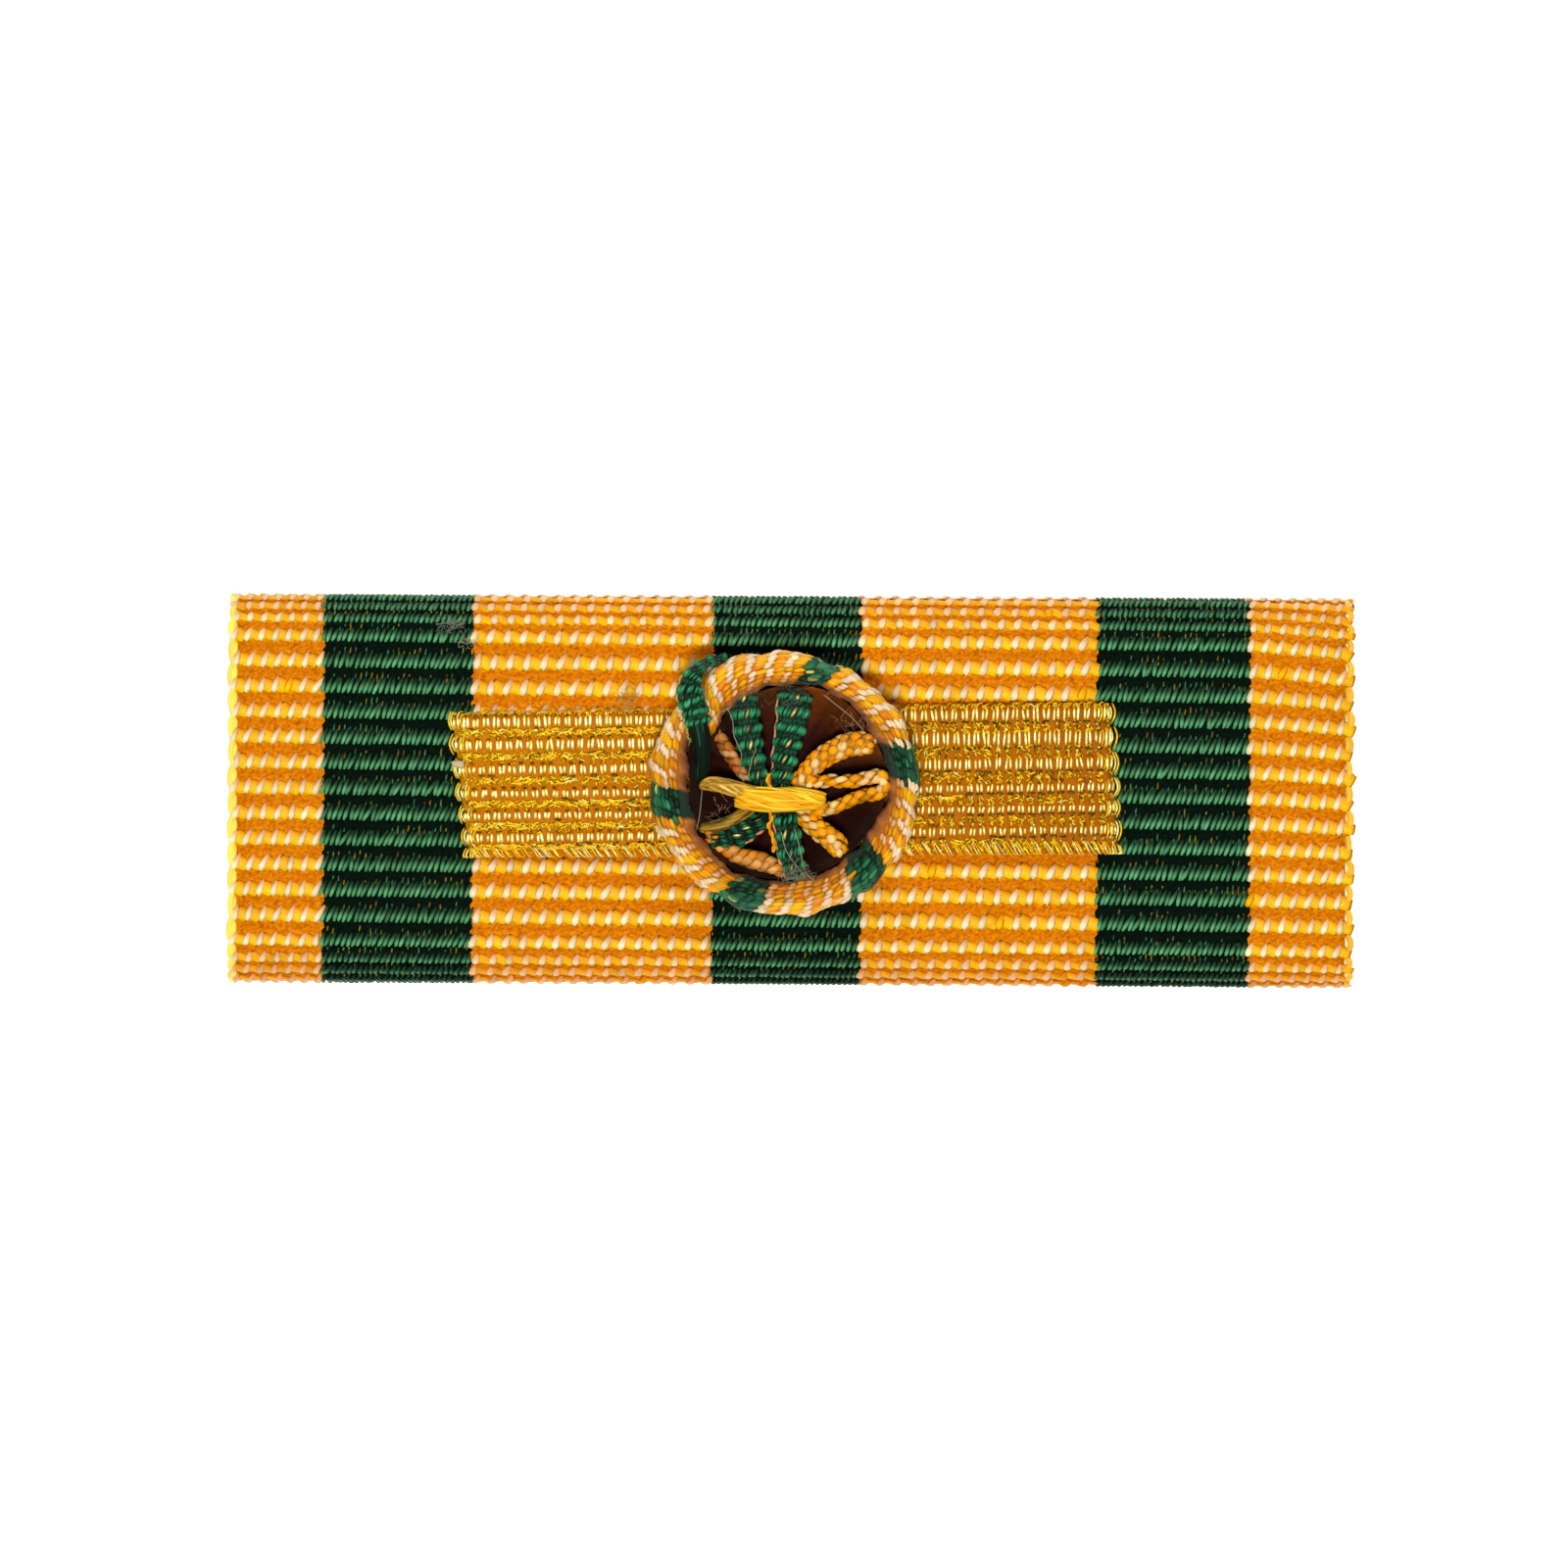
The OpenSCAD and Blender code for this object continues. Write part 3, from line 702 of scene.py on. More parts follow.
class Nodes:
    """Short way to place and link shader nodes."""

    def __init__(self, tree):
        self.tree = tree

    def add(self, kind, _settings=None, **links):
        """Places a node; settings are its own values, and links go to the sockets of that
        name, or of that number after an underscore."""
        node = self.tree.nodes.new(kind)
        for key, value in (_settings or {}).items():
            setattr(node, key, value)
        for key, value in links.items():
            place = int(key[1:]) if key[1:].isdigit() else key.replace("_", " ")
            self.feed(node.inputs[place], value)
        return node

    def feed(self, socket, value):
        """Links an output to a socket, or sets the socket's own value."""
        if isinstance(value, bpy.types.NodeSocket):
            self.tree.links.new(value, socket)
        else:
            socket.default_value = value

    def math(self, operation, a, b):
        """Result of a Math node."""
        return self.add("ShaderNodeMath", {"operation": operation}, _0=a, _1=b).outputs[0]

    def mix(self, factor, a, b, blend_type="MIX"):
        """Result of a colour Mix node."""
        a, b = ((*c, 1) if isinstance(c, tuple) else c for c in (a, b))
        settings = {"data_type": "RGBA", "blend_type": blend_type}
        return self.add("ShaderNodeMix", settings, Factor=factor, _6=a, _7=b).outputs[2]

    def times(self, colour, factors):
        """Colour multiplied by red, green and blue factors."""
        return self.mix(1.0, colour, factors, "MULTIPLY")

    def noise(self, place, scale, detail, **links):
        """Value of a Noise Texture node."""
        return self.add("ShaderNodeTexNoise", None, Vector=place, Scale=scale, Detail=detail,
                        **links).outputs["Fac"]

    def spread(self, value, low, high, to_low=0.0, to_high=1.0):
        """Value moved from one range to another and kept inside it."""
        return self.add("ShaderNodeMapRange", None, Value=value, From_Min=low, From_Max=high,
                        To_Min=to_low, To_Max=to_high).outputs[0]

    def tint(self, output="Color"):
        """The tint that a piece carries at its points."""
        return self.add("ShaderNodeAttribute", {"attribute_name": "tint"}).outputs[output]

    def fibres(self, across, along):
        """The fibre group placed in a material, reading the piece's own thread map."""
        place = self.add("ShaderNodeUVMap", {"uv_map": "thread"}).outputs[0]
        outputs = self.add("ShaderNodeGroup", {"node_tree": shared("Thread fibres", fibre_group)},
                           Place=place, Across=across, Along=along).outputs
        return outputs["Fibres"], outputs["Shade"]

    def soil(self):
        """The soiling group placed in a material."""
        place = self.add("ShaderNodeTexCoord").outputs["Object"]
        outputs = self.add("ShaderNodeGroup", {"node_tree": shared("Soiling", soil_group)},
                           Place=place).outputs
        return outputs["Soil"], outputs["Specks"]

    def finish(self, shader, height, strength, reach, **values):
        """Feeds a shader's sockets, and gives it a bump of a strength and a reach in metres."""
        bump = self.add("ShaderNodeBump", None, Strength=strength, Distance=reach, Height=height)
        self.feed(shader.inputs["Normal"], bump.outputs[0])
        for key, value in values.items():
            self.feed(shader.inputs[key.replace("_", " ")], value)


def fibre_group():
    """Fine fibres that run along a thread, and slow changes of shade along it."""
    nodes, inp, out = group(
        "Thread fibres", [("Place", None), ("Across", 14.0), ("Along", 1.2)],
        [("Fibres", "NodeSocketFloat"), ("Shade", "NodeSocketFloat")])
    split = nodes.add("ShaderNodeSeparateXYZ", None, Vector=inp.outputs["Place"])
    u = nodes.math("MULTIPLY", split.outputs[0], inp.outputs["Along"])
    v = nodes.math("MULTIPLY", split.outputs[1], inp.outputs["Across"])
    place = nodes.add("ShaderNodeCombineXYZ", None, X=u, Y=v, Z=u).outputs[0]
    fine = nodes.noise(place, 1.0, 3.0, Roughness=0.6)
    slow = nodes.noise(place, 0.35, 1.0)
    nodes.feed(out.inputs["Fibres"], nodes.spread(fine, 0.3, 0.7))
    nodes.feed(out.inputs["Shade"], nodes.spread(slow, 0.35, 0.65))
    return nodes.tree


def soil_group():
    """Handling marks: a soft cloudy mask over the whole object with finer specks in it."""
    nodes, inp, out = group(
        "Soiling", [("Place", None), ("Cloud size", 180.0), ("Speck size", 2600.0)],
        [("Soil", "NodeSocketFloat"), ("Specks", "NodeSocketFloat")])
    cloud = nodes.noise(inp.outputs["Place"], inp.outputs["Cloud size"], 4.0)
    speck = nodes.noise(inp.outputs["Place"], inp.outputs["Speck size"], 2.0)
    nodes.feed(out.inputs["Soil"], nodes.spread(cloud, 0.45, 0.75))
    nodes.feed(out.inputs["Specks"], nodes.spread(speck, 0.62, 0.74))
    return nodes.tree


def shared(name, maker):
    """A node group that is built once."""
    return bpy.data.node_groups.get(name) or maker()


def surface(name, **values):
    """New material: its node helper and its shader, whose own sockets take the values."""
    material = bpy.data.materials.new(name)
    material.use_nodes = True
    nodes = Nodes(material.node_tree)
    shader = material.node_tree.nodes["Principled BSDF"]
    for key, value in values.items():
        shader.inputs[key.replace("_", " ")].default_value = value
    return material, nodes, shader


def yarn_material(name, roughness=0.42, sheen=0.0, across=14.0, contrast=0.35, bump=0.35,
                  soil=0.25, specular=0.45):
    """Silky yarn: its own tint, darker between its fibres, with a fine lengthwise bump."""
    found = bpy.data.materials.get(name)
    if found:
        return found
    material, nodes, shader = surface(
        name, Sheen_Weight=sheen, Sheen_Roughness=0.4, Specular_IOR_Level=specular)
    tint = nodes.tint()
    fibres, shade = nodes.fibres(across, 1.2)
    dirt, _ = nodes.soil()
    dark = nodes.times(tint, (1 - contrast, 1 - contrast * 1.1, 1 - contrast * 1.2))
    colour = nodes.mix(fibres, dark, tint)
    shaded = nodes.mix(0.22, colour, nodes.mix(shade, dark, tint))
    dusty = nodes.mix(nodes.math("MULTIPLY", dirt, soil), shaded,
                      nodes.times(shaded, (0.72, 0.66, 0.58)))
    rough = nodes.spread(fibres, 0, 1, roughness + 0.12, roughness - 0.06)
    nodes.finish(shader, fibres, bump, 0.00003, Base_Color=dusty, Roughness=rough)
    return material


def wire_material():
    """Gilt wire: warm metal with fine turns, darker in slow patches of rubbed gilding."""
    material, nodes, shader = surface("Gilt wire", Specular_IOR_Level=0.6,
                                      Specular_Tint=(1.0, 0.86, 0.42, 1.0))
    tint = nodes.tint()
    fibres, shade = nodes.fibres(5.0, 9.0)
    soil, _ = nodes.soil()
    wear_and_shade = nodes.times(tint, (0.80, 0.62, 0.30))
    tarnish_and_shade = nodes.math("MULTIPLY", soil, 0.25)
    nodes.finish(shader, fibres, 0.3, 0.00002,
                 Base_Color=nodes.mix(tarnish_and_shade, nodes.mix(shade, wear_and_shade, tint), wear_and_shade),
                 Metallic=nodes.spread(shade, 0, 1, 0.10, 0.25),
                 Roughness=nodes.spread(fibres, 0, 1, 0.36, 0.22))
    return material


def striped_cloth_material(s):
    """Ground of the ribbon: stripes by the width with a fine grain, and from the piece's tint
    painted light on the crests and painted shade in the valleys.
    """
    material, nodes, shader = surface("Striped ground", Sheen_Weight=0.0, Specular_IOR_Level=0.03)
    place = nodes.add("ShaderNodeUVMap", {"uv_map": "thread"}).outputs[0]
    split = nodes.add("ShaderNodeSeparateXYZ", None, Vector=place)
    ramp = nodes.add("ShaderNodeValToRGB", None, Fac=split.outputs[0])
    ramp.color_ramp.interpolation = "CONSTANT"
    starts = np.concatenate([[0], np.cumsum(STRIPES[:, 0])[:-1]]) / STRIPES[:, 0].sum()
    stops = ramp.color_ramp.elements
    while len(stops) < len(starts):
        stops.new(1.0)
    for stop, start, is_green in zip(stops, starts, STRIPES[:, 2]):
        stop.position = start
        stop.color = (*(s.shaded_dark_green if is_green else s.orange), 1)
    fibres, _ = nodes.fibres(230.0, 210.0)
    _, specks = nodes.soil()
    # The tint's share is painted light: at 0 the stripe colour darker and redder as painted shade,
    # at 1 lighter and yellower as painted light.
    ground = nodes.mix(nodes.tint("Fac"), nodes.times(ramp.outputs[0], (0.93, 0.84, 0.7)),
                       nodes.times(ramp.outputs[0], (1.3, 1.9, 1.0)))
    grain = nodes.mix(fibres, nodes.times(ground, (0.58, 0.36, 0.3)),
                      nodes.times(ground, (1.12, 1.28, 1.3)))
    colour = nodes.mix(nodes.math("MULTIPLY", specks, 0.3), grain,
                       nodes.times(grain, (1.25, 1.2, 1.0)))
    nodes.finish(shader, fibres, 0.5, 0.00005, Base_Color=colour,
                 Roughness=nodes.spread(fibres, 0, 1, 0.7, 0.5))
    return material


def brass_material(name, colour, roughness):
    """Rolled brass: drawn lines along the bar, brown tarnished clouds and small dark specks."""
    material, nodes, shader = surface(name, Specular_IOR_Level=0.5)
    place = nodes.add("ShaderNodeTexCoord").outputs["Object"]
    drawn = nodes.add("ShaderNodeMapping", None, Vector=place)
    drawn.inputs["Scale"].default_value = (300, 9000, 9000)
    lines = nodes.noise(drawn.outputs[0], 1.0, 2.0)
    soil, specks = nodes.soil()
    brown = tuple(np.array(colour) * (0.45, 0.36, 0.3))
    tarnished = nodes.mix(nodes.math("MULTIPLY", soil, 0.75), colour, brown)
    specked = nodes.mix(nodes.math("MULTIPLY", specks, 0.6), tarnished, (0.05, 0.03, 0.015))
    rough = nodes.math("ADD", nodes.spread(lines, 0.3, 0.7, roughness - 0.06, roughness + 0.1),
                       nodes.math("MULTIPLY", soil, 0.2))
    nodes.finish(shader, lines, 0.2, 0.00002, Base_Color=specked, Roughness=rough,
                 Metallic=nodes.spread(specks, 0, 1, 1.0, 0.3))
    return material


class PieceOperator:
    """What the operators share: each makes its pieces and says that it has finished."""
    bl_options = {"REGISTER", "UNDO"}

    def execute(self, context):
        """Makes the pieces from the scene's settings."""
        self.make(context.scene)
        return {"FINISHED"}


class RIBBONBAR_OT_stage(PieceOperator, bpy.types.Operator):
    """Camera over the face, pale floor and soft light"""
    bl_idname = "ribbonbar.stage"
    bl_label = "Stage"

    def make(self, scene):
        """Places the camera, the floor and the lights."""
        s = scene.ribbonbar_stage
        face = RIBBON_HIGH[2]
        camera = bpy.data.cameras.new("camera")
        camera.sensor_width = 36
        camera.lens = camera.sensor_width * (s.camera_height - face) / s.frame_width
        camera.clip_start, camera.clip_end = 0.01, 10
        holder = bpy.data.objects.new("camera", camera)
        holder.location = (s.aim_x * MM, s.aim_y * MM, s.camera_height * MM)
        holder.rotation_euler = (0, 0, s.roll)
        scene.collection.objects.link(holder)
        scene.camera = holder
        scene.view_settings.view_transform = "Standard"
        self.floor(s)
        self.light(scene, "key light", (-0.012, -0.075, 0.40), 0.07, s.key_power)
        self.light(scene, "upper light", (0.06, 0.26, 0.34), 0.22, s.fill_power)
        world = bpy.data.worlds.new("studio")
        world.use_nodes = True
        background = world.node_tree.nodes["Background"].inputs
        background["Color"].default_value = (1, 1, 1, 1)
        background["Strength"].default_value = s.surround
        scene.world = world

    def floor(self, s):
        """Flat floor that rises behind in a quarter round to a backdrop, in metres."""
        half, rise, steps = 1.5, 0.6, 12
        turn = np.linspace(0, np.pi / 2, steps)
        y = np.concatenate([[-half], half + rise * np.sin(turn), [half + rise]])
        z = np.concatenate([[0], rise * (1 - np.cos(turn)), [2 * rise]])
        x = np.array([-half, half])
        points = together(x, y[:, None], z[:, None]).reshape(-1, 3)
        floor = new_mesh("floor", points, band_triangles(len(y), 2)[:, ::-1])
        material, nodes, shader = surface("Pale floor", Roughness=0.9, Emission_Strength=0.75)
        place = nodes.add("ShaderNodeTexCoord").outputs["Object"]
        clouds = nodes.spread(nodes.noise(place, 40.0, 2.0), 0.3, 0.7, 0, 0.04)
        colour = nodes.mix(clouds, tuple(s.floor), (0.9, 0.9, 0.9))
        nodes.feed(shader.inputs["Base Color"], colour)
        nodes.feed(shader.inputs["Emission Color"], colour)
        floor.data.materials.append(material)

    def light(self, scene, name, place, size, power):
        """Square soft light that points at the bar."""
        data = bpy.data.lights.new(name, "AREA")
        data.shape, data.size, data.energy = "SQUARE", size, power
        lamp = bpy.data.objects.new(name, data)
        lamp.location = place
        aim = -np.array(place)
        flat = math.hypot(aim[0], aim[1])
        lamp.rotation_euler = (math.atan2(flat, -aim[2]), 0, math.atan2(aim[0], -aim[1]) + math.pi)
        scene.collection.objects.link(lamp)


class RIBBONBAR_OT_ribbon(PieceOperator, bpy.types.Operator):
    """Striped ribbon: ground cloth, yarns over the ribs and loops along both ends"""
    bl_idname = "ribbonbar.ribbon"
    bl_label = "Striped ribbon"

    ribs = 19  # each way from the middle rib, round to the ends behind the bar
    face_ribs = 9  # each way from the middle rib, over the face and its rolled edges

    def make(self, scene):
        """Makes the ground cloth and the yarns on it."""
        s = scene.ribbonbar_ribbon
        wrap = Wrap(s)
        ground = self.ground(s, wrap)
        orange = self.yarns(s, wrap, is_green=0)
        green = self.yarns(s, wrap, is_green=1)
        loops = self.selvedges(s, wrap)

    def ground(self, s, wrap):
        """Closed band: radius = crest - 0.06 - rib height * (1 - |cos(pi * rib number)|)
        outside, with lower ribs where they lie closer, and a plain lining inside, carried
        along the bar. Its tint is lit a little below each crest and at the foot above it."""
        stations, per_rib, sunk = 44, 8, 0.06
        count = int(wrap.run / s.rib_pitch) * per_rib
        x = np.linspace(-wrap.half_length, wrap.half_length, stations)[:, None]
        along = np.broadcast_to(np.linspace(0, wrap.run, count), (stations, count))
        phase = wrap.phase(x, along)
        below = phase - np.round(phase)
        fall = s.rib_height * wrap.lowered(phase) * (1 - np.abs(np.cos(np.pi * phase)))
        outer, _ = wrap.at(x, along, wrap.crest - sunk - fall)
        inner, _ = wrap.at(x, along, wrap.valley - s.cloth)
        lean = -0.3 * s.slant * s.rib_pitch * below
        uv = together((x + lean) / (2 * wrap.half_length) + 0.5, along / wrap.run)
        # Painted light a little below each crest and at the foot above it; the material turns it
        # into lighter crests and darker, painted-shade valleys.
        lit = np.exp(-((below - 0.12) / 0.15) ** 2) + 0.22 * np.exp(-((below + 0.28) / 0.2) ** 2)
        lit = together(lit, lit, lit)
        sheaf = Sheaf()
        sheaf.strip(outer, inner, lit, 0 * lit, uv)
        return sheaf.make("ribbon_ground", striped_cloth_material(s), "striped_ribbon",
                          replaces=["ribbon"])

    def places(self, wrap, is_green):
        """Yarn places for one kind of stripe: x, width of a yarn, and its number in its stripe."""
        starts = np.concatenate([[0], np.cumsum(STRIPES[:, 0])]) * 2 * wrap.half_length
        starts = starts / STRIPES[:, 0].sum() - wrap.half_length
        found = []
        for row, start, end in zip(STRIPES, starts[:-1], starts[1:]):
            if row[2] == is_green:
                number = np.arange(int(row[1]))
                pitch = (end - start) / row[1]
                found.append(together(start + (number + 0.25) * pitch, pitch, number))
        return np.concatenate(found)

    def yarns(self, s, wrap, is_green):
        """Each yarn arches over a rib: radius = crest - 0.02 - rib height * (1 - cos(pi * its
        way from the crest / rib pitch)) with a further dive of t^4 at both ends, and x leans
        by the slant as it goes up. Ribs in turn show the even and the odd ends of the warp,
        half a yarn apart. In the orange stripes the even yarns are round and pale, and the
        odd ones flat and yellow."""
        places = self.places(wrap, is_green)
        rib, index = combinations(np.arange(-self.ribs, self.ribs + 1), np.arange(len(places)))
        x, width, number = np.moveaxis(places[index], -1, 0)
        sheaf = Sheaf(seed=3 + is_green)
        rand = sheaf.variation(len(x))
        x = x + 0.38 * width * (rib % 2) + rand(0.012)
        t, slim = blunt(6, 3)
        full = blunt(6, 10)[1]
        close = wrap.closeness(rib)
        flat = (number % 2 == 1) & (not is_green)
        half = 0.5 * s.float_length * close * (1 + rand(0.04))
        half = half * np.where(t < 0, np.where(flat, 0.85, 1.3), np.where(flat, 0.80, 0.90))
        along = wrap.crest_along(rib, x) + half * t + rand(0.008)
        keep = (along.min(axis=1) > 0) & (along.max(axis=1) < wrap.run)
        leaning = x - s.slant * half * t * (1 + rand(0.25))
        arch = np.cos(np.pi * half * t / (s.rib_pitch * close))
        dive = np.where(flat, 0.03, 0.10) * t ** 4
        fall = wrap.lowered(rib) * (s.rib_height * (1 - arch) + dive)
        radius = wrap.crest - 0.02 - fall - np.where(flat, 0.018, 0.0) + rand(0.005)
        path, out = wrap.at(leaning, along, radius)
        if is_green:
            half_width, half_height = 0.78 * slim, 0.060 * slim
        else:
            half_width = np.where(flat, 2.1 * full, slim * (1 + 0.18 * t))
            half_height = np.where(flat, 0.012 * full, 0.075 * slim)
        half_width = 0.5 * width * half_width
        half_height = np.broadcast_to(half_height, half_width.shape)
        colours = self.yarn_colours(s, sheaf, t, number, rib, is_green)
        sheaf.threads(path[keep], out[keep], half_width[keep], half_height[keep], colours[keep])
        if is_green:
            self.weft(s, wrap, sheaf, places)
        name = "ribbon_green_yarns" if is_green else "ribbon_orange_yarns"
        return sheaf.make(name, yarn_material("Ribbon yarn", specular=0.10, contrast=0.2),
                          "striped_ribbon")

    def weft(self, s, wrap, sheaf, places):
        """Golden and pale green streaks of the weft, here and there between the green ribs."""
        streaks = 1600
        uniform = sheaf.random.uniform
        rib = sheaf.random.integers(-self.face_ribs, self.face_ribs + 1, (streaks, 1))
        x = places[sheaf.random.integers(0, len(places), (streaks, 1)), 0]
        t = np.linspace(-1, 1, 5)[None]
        centre = wrap.crest_along(rib, x) - uniform(0.20, 0.42, (streaks, 1))
        half = uniform(0.05, 0.14, (streaks, 1))
        path, out = wrap.at(x - 0.2 * half * t, centre + half * t,
                            wrap.valley + 0.055 - 0.03 * t * t)
        size = 0.028 * swelling(t, 4)
        golden = sheaf.random.random((streaks, 1, 1)) < 0.45
        tint = np.where(golden, s.golden, np.array(s.green) * 0.6)
        tint = tint * uniform(0.3, 1.0, (streaks, 1, 1))
        sheaf.threads(path, out, size, size, tint, sides=4)

    def yarn_colours(self, s, sheaf, t, number, rib, is_green):
        """Tint along each yarn: painted light below the crest, fading upwards into painted shade
        in the valley, where the pale yarns take the tail colour, the yellow ones the orange and
        the green ones the dark green. The ribs round the rolled edges get painted shade, and a
        few pale yarns are yellow."""
        if is_green:
            lit = np.interp(t, [-1, -0.6, -0.2, 0.1, 0.4, 0.8, 1],
                            [0.03, 0.08, 0.22, 0.65, 1, 1, 0.75])
        else:
            pale_lit = np.interp(t, [-1, -0.6, -0.3, 0.0, 0.5, 1], [0, 0.04, 0.35, 1, 1, 0.95])
            flat_lit = np.interp(t, [-1, -0.75, -0.35, 0.0, 1], [0, 0.1, 0.7, 1, 1])
            lit = np.where(number % 2 == 0, pale_lit, flat_lit)
        last_bright = 6.4
        # Painted shade on the ribs round the rolled edges.
        dull = np.clip((np.abs(rib) - last_bright) / 1.2, 0, 1)
        lit = (lit * (1 - 0.45 * dull))[..., None]
        n = len(number)
        shade = 1 + sheaf.random.normal(0, 0.16 if is_green else 0.06, (n, 1, 1))
        # The green yarns go from the shaded dark green at their upper end, painted shade, to the
        # green where painted light falls.
        if is_green:
            return blend(np.array(s.shaded_dark_green) * 1.2, s.green, lit) * shade
        pale = ((number % 2 == 0) & (sheaf.random.random((n, 1)) > 0.02))[..., None]
        # The upper end of each yarn in painted shade: the tail colour for the pale yarns, the
        # orange for the others.
        deep = np.where(pale & (t[..., None] < 0), s.tail, s.orange)
        return blend(deep, np.where(pale, s.pale, s.yellow), lit) * shade

    def selvedges(self, s, wrap):
        """Weft loops that turn round the outermost yarn: at each end of the bar and each rib
        an arc from valley to valley, x = end + bulge * cos(pi * t / 2)^0.7. At the right end
        the outer loops are short amber knots over pale, thin ones."""
        rib = np.arange(1 - self.ribs, self.ribs - 1)[:, None] + 0.5
        close = wrap.closeness(rib)
        sheaf = Sheaf(seed=9)
        rand = sheaf.variation(len(rib))
        t = np.linspace(-1, 1, 11)[None]
        arch = np.cos(np.pi * t / 2)
        amber = np.array(s.yellow) * 0.9
        for side, strand in itertools.product((-1, 1), range(4)):
            x_end = side * (wrap.half_length - 0.13)
            reach, thick, uneven, colour = 0.62 - 0.02 * strand, 0.105, 0.08, s.selvedge
            if side > 0:
                uneven = 0.25
                if strand < 2:
                    reach, colour = 0.36, amber
                else:
                    thick, colour = 0.075, s.pale
            centre = wrap.crest_along(rib, x_end) + 0.12 * close
            along = centre + reach * s.rib_pitch * close * t
            bulge = (0.17 - 0.045 * strand) * (1 + rand(uneven))
            radius = wrap.valley + 0.08 - (0.04 + 0.05 * strand) * (1 - arch) - 0.03 * strand
            keep = (along.min(axis=1) > 0) & (along.max(axis=1) < wrap.run)
            path, out = wrap.at(x_end + side * bulge * arch ** 0.7, along, radius)
            size = thick * swelling(t, 6)
            tint = np.array(colour) * (1 + rand(0.08)[..., None])
            sheaf.threads(path[keep], out[keep], size, size, tint[keep])
        material = yarn_material("Selvedge yarn", roughness=0.45, sheen=0.25, contrast=0.1,
                                 soil=0.05)
        return sheaf.make("ribbon_selvedges", material, "striped_ribbon")


class LacePlace:
    """Places on the piece of lace: u from left to right, row from the first crest (0) down."""

    seat_gap = 0.03  # between the ribbon and the lace
    groove = 0.27  # height of the ground in a groove
    rib = 0.08  # height of a rib over its grooves
    top_edge = (-0.11, -0.06)  # place of the top edge at the left and right end

    def __init__(self, settings):
        self.s = settings
        self.base = RIBBON_HIGH[2] + self.seat_gap
        self.rows = len(LACE_ROWS)
        self.columns = (np.arange(settings.columns) + 0.5) / settings.columns

    def at(self, u, row, height):
        """Points for a share u, a row number and a height above the ribbon. The rows spread
        from the left end's table to the right end's, the two leaning ends are joined by
        straight lines, and the whole is tilted on the bar."""
        s = self.s
        number = np.arange(-1, self.rows)
        left_v, right_v = (
            np.interp(row, number, [edge, *LACE_ROWS[:, side]])
            for side, edge in enumerate(self.top_edge))
        up = 0.5 - blend(left_v, right_v, u)
        left = -s.length / 2 - s.height_left * up * math.tan(s.lean_left)
        right = s.length / 2 - s.height_right * up * math.tan(s.lean_right)
        x = blend(left, right, u)
        y = up * blend(s.height_left, s.height_right, u)
        c, d = math.cos(s.tilt), math.sin(s.tilt)
        return together(s.place_x + c * x - d * y, s.place_y + d * x + c * y, self.base + height)

    def ribs(self, row):
        """Height of the ground over a row number: groove + rib cos(pi * row)^2."""
        return self.groove + self.rib * np.cos(np.pi * row) ** 2

    def half_wire(self, u, row):
        """Half length of the bright wires, as a share of the row pitch."""
        return blend(LACE_ROWS[row, 2], LACE_ROWS[row, 3], u)


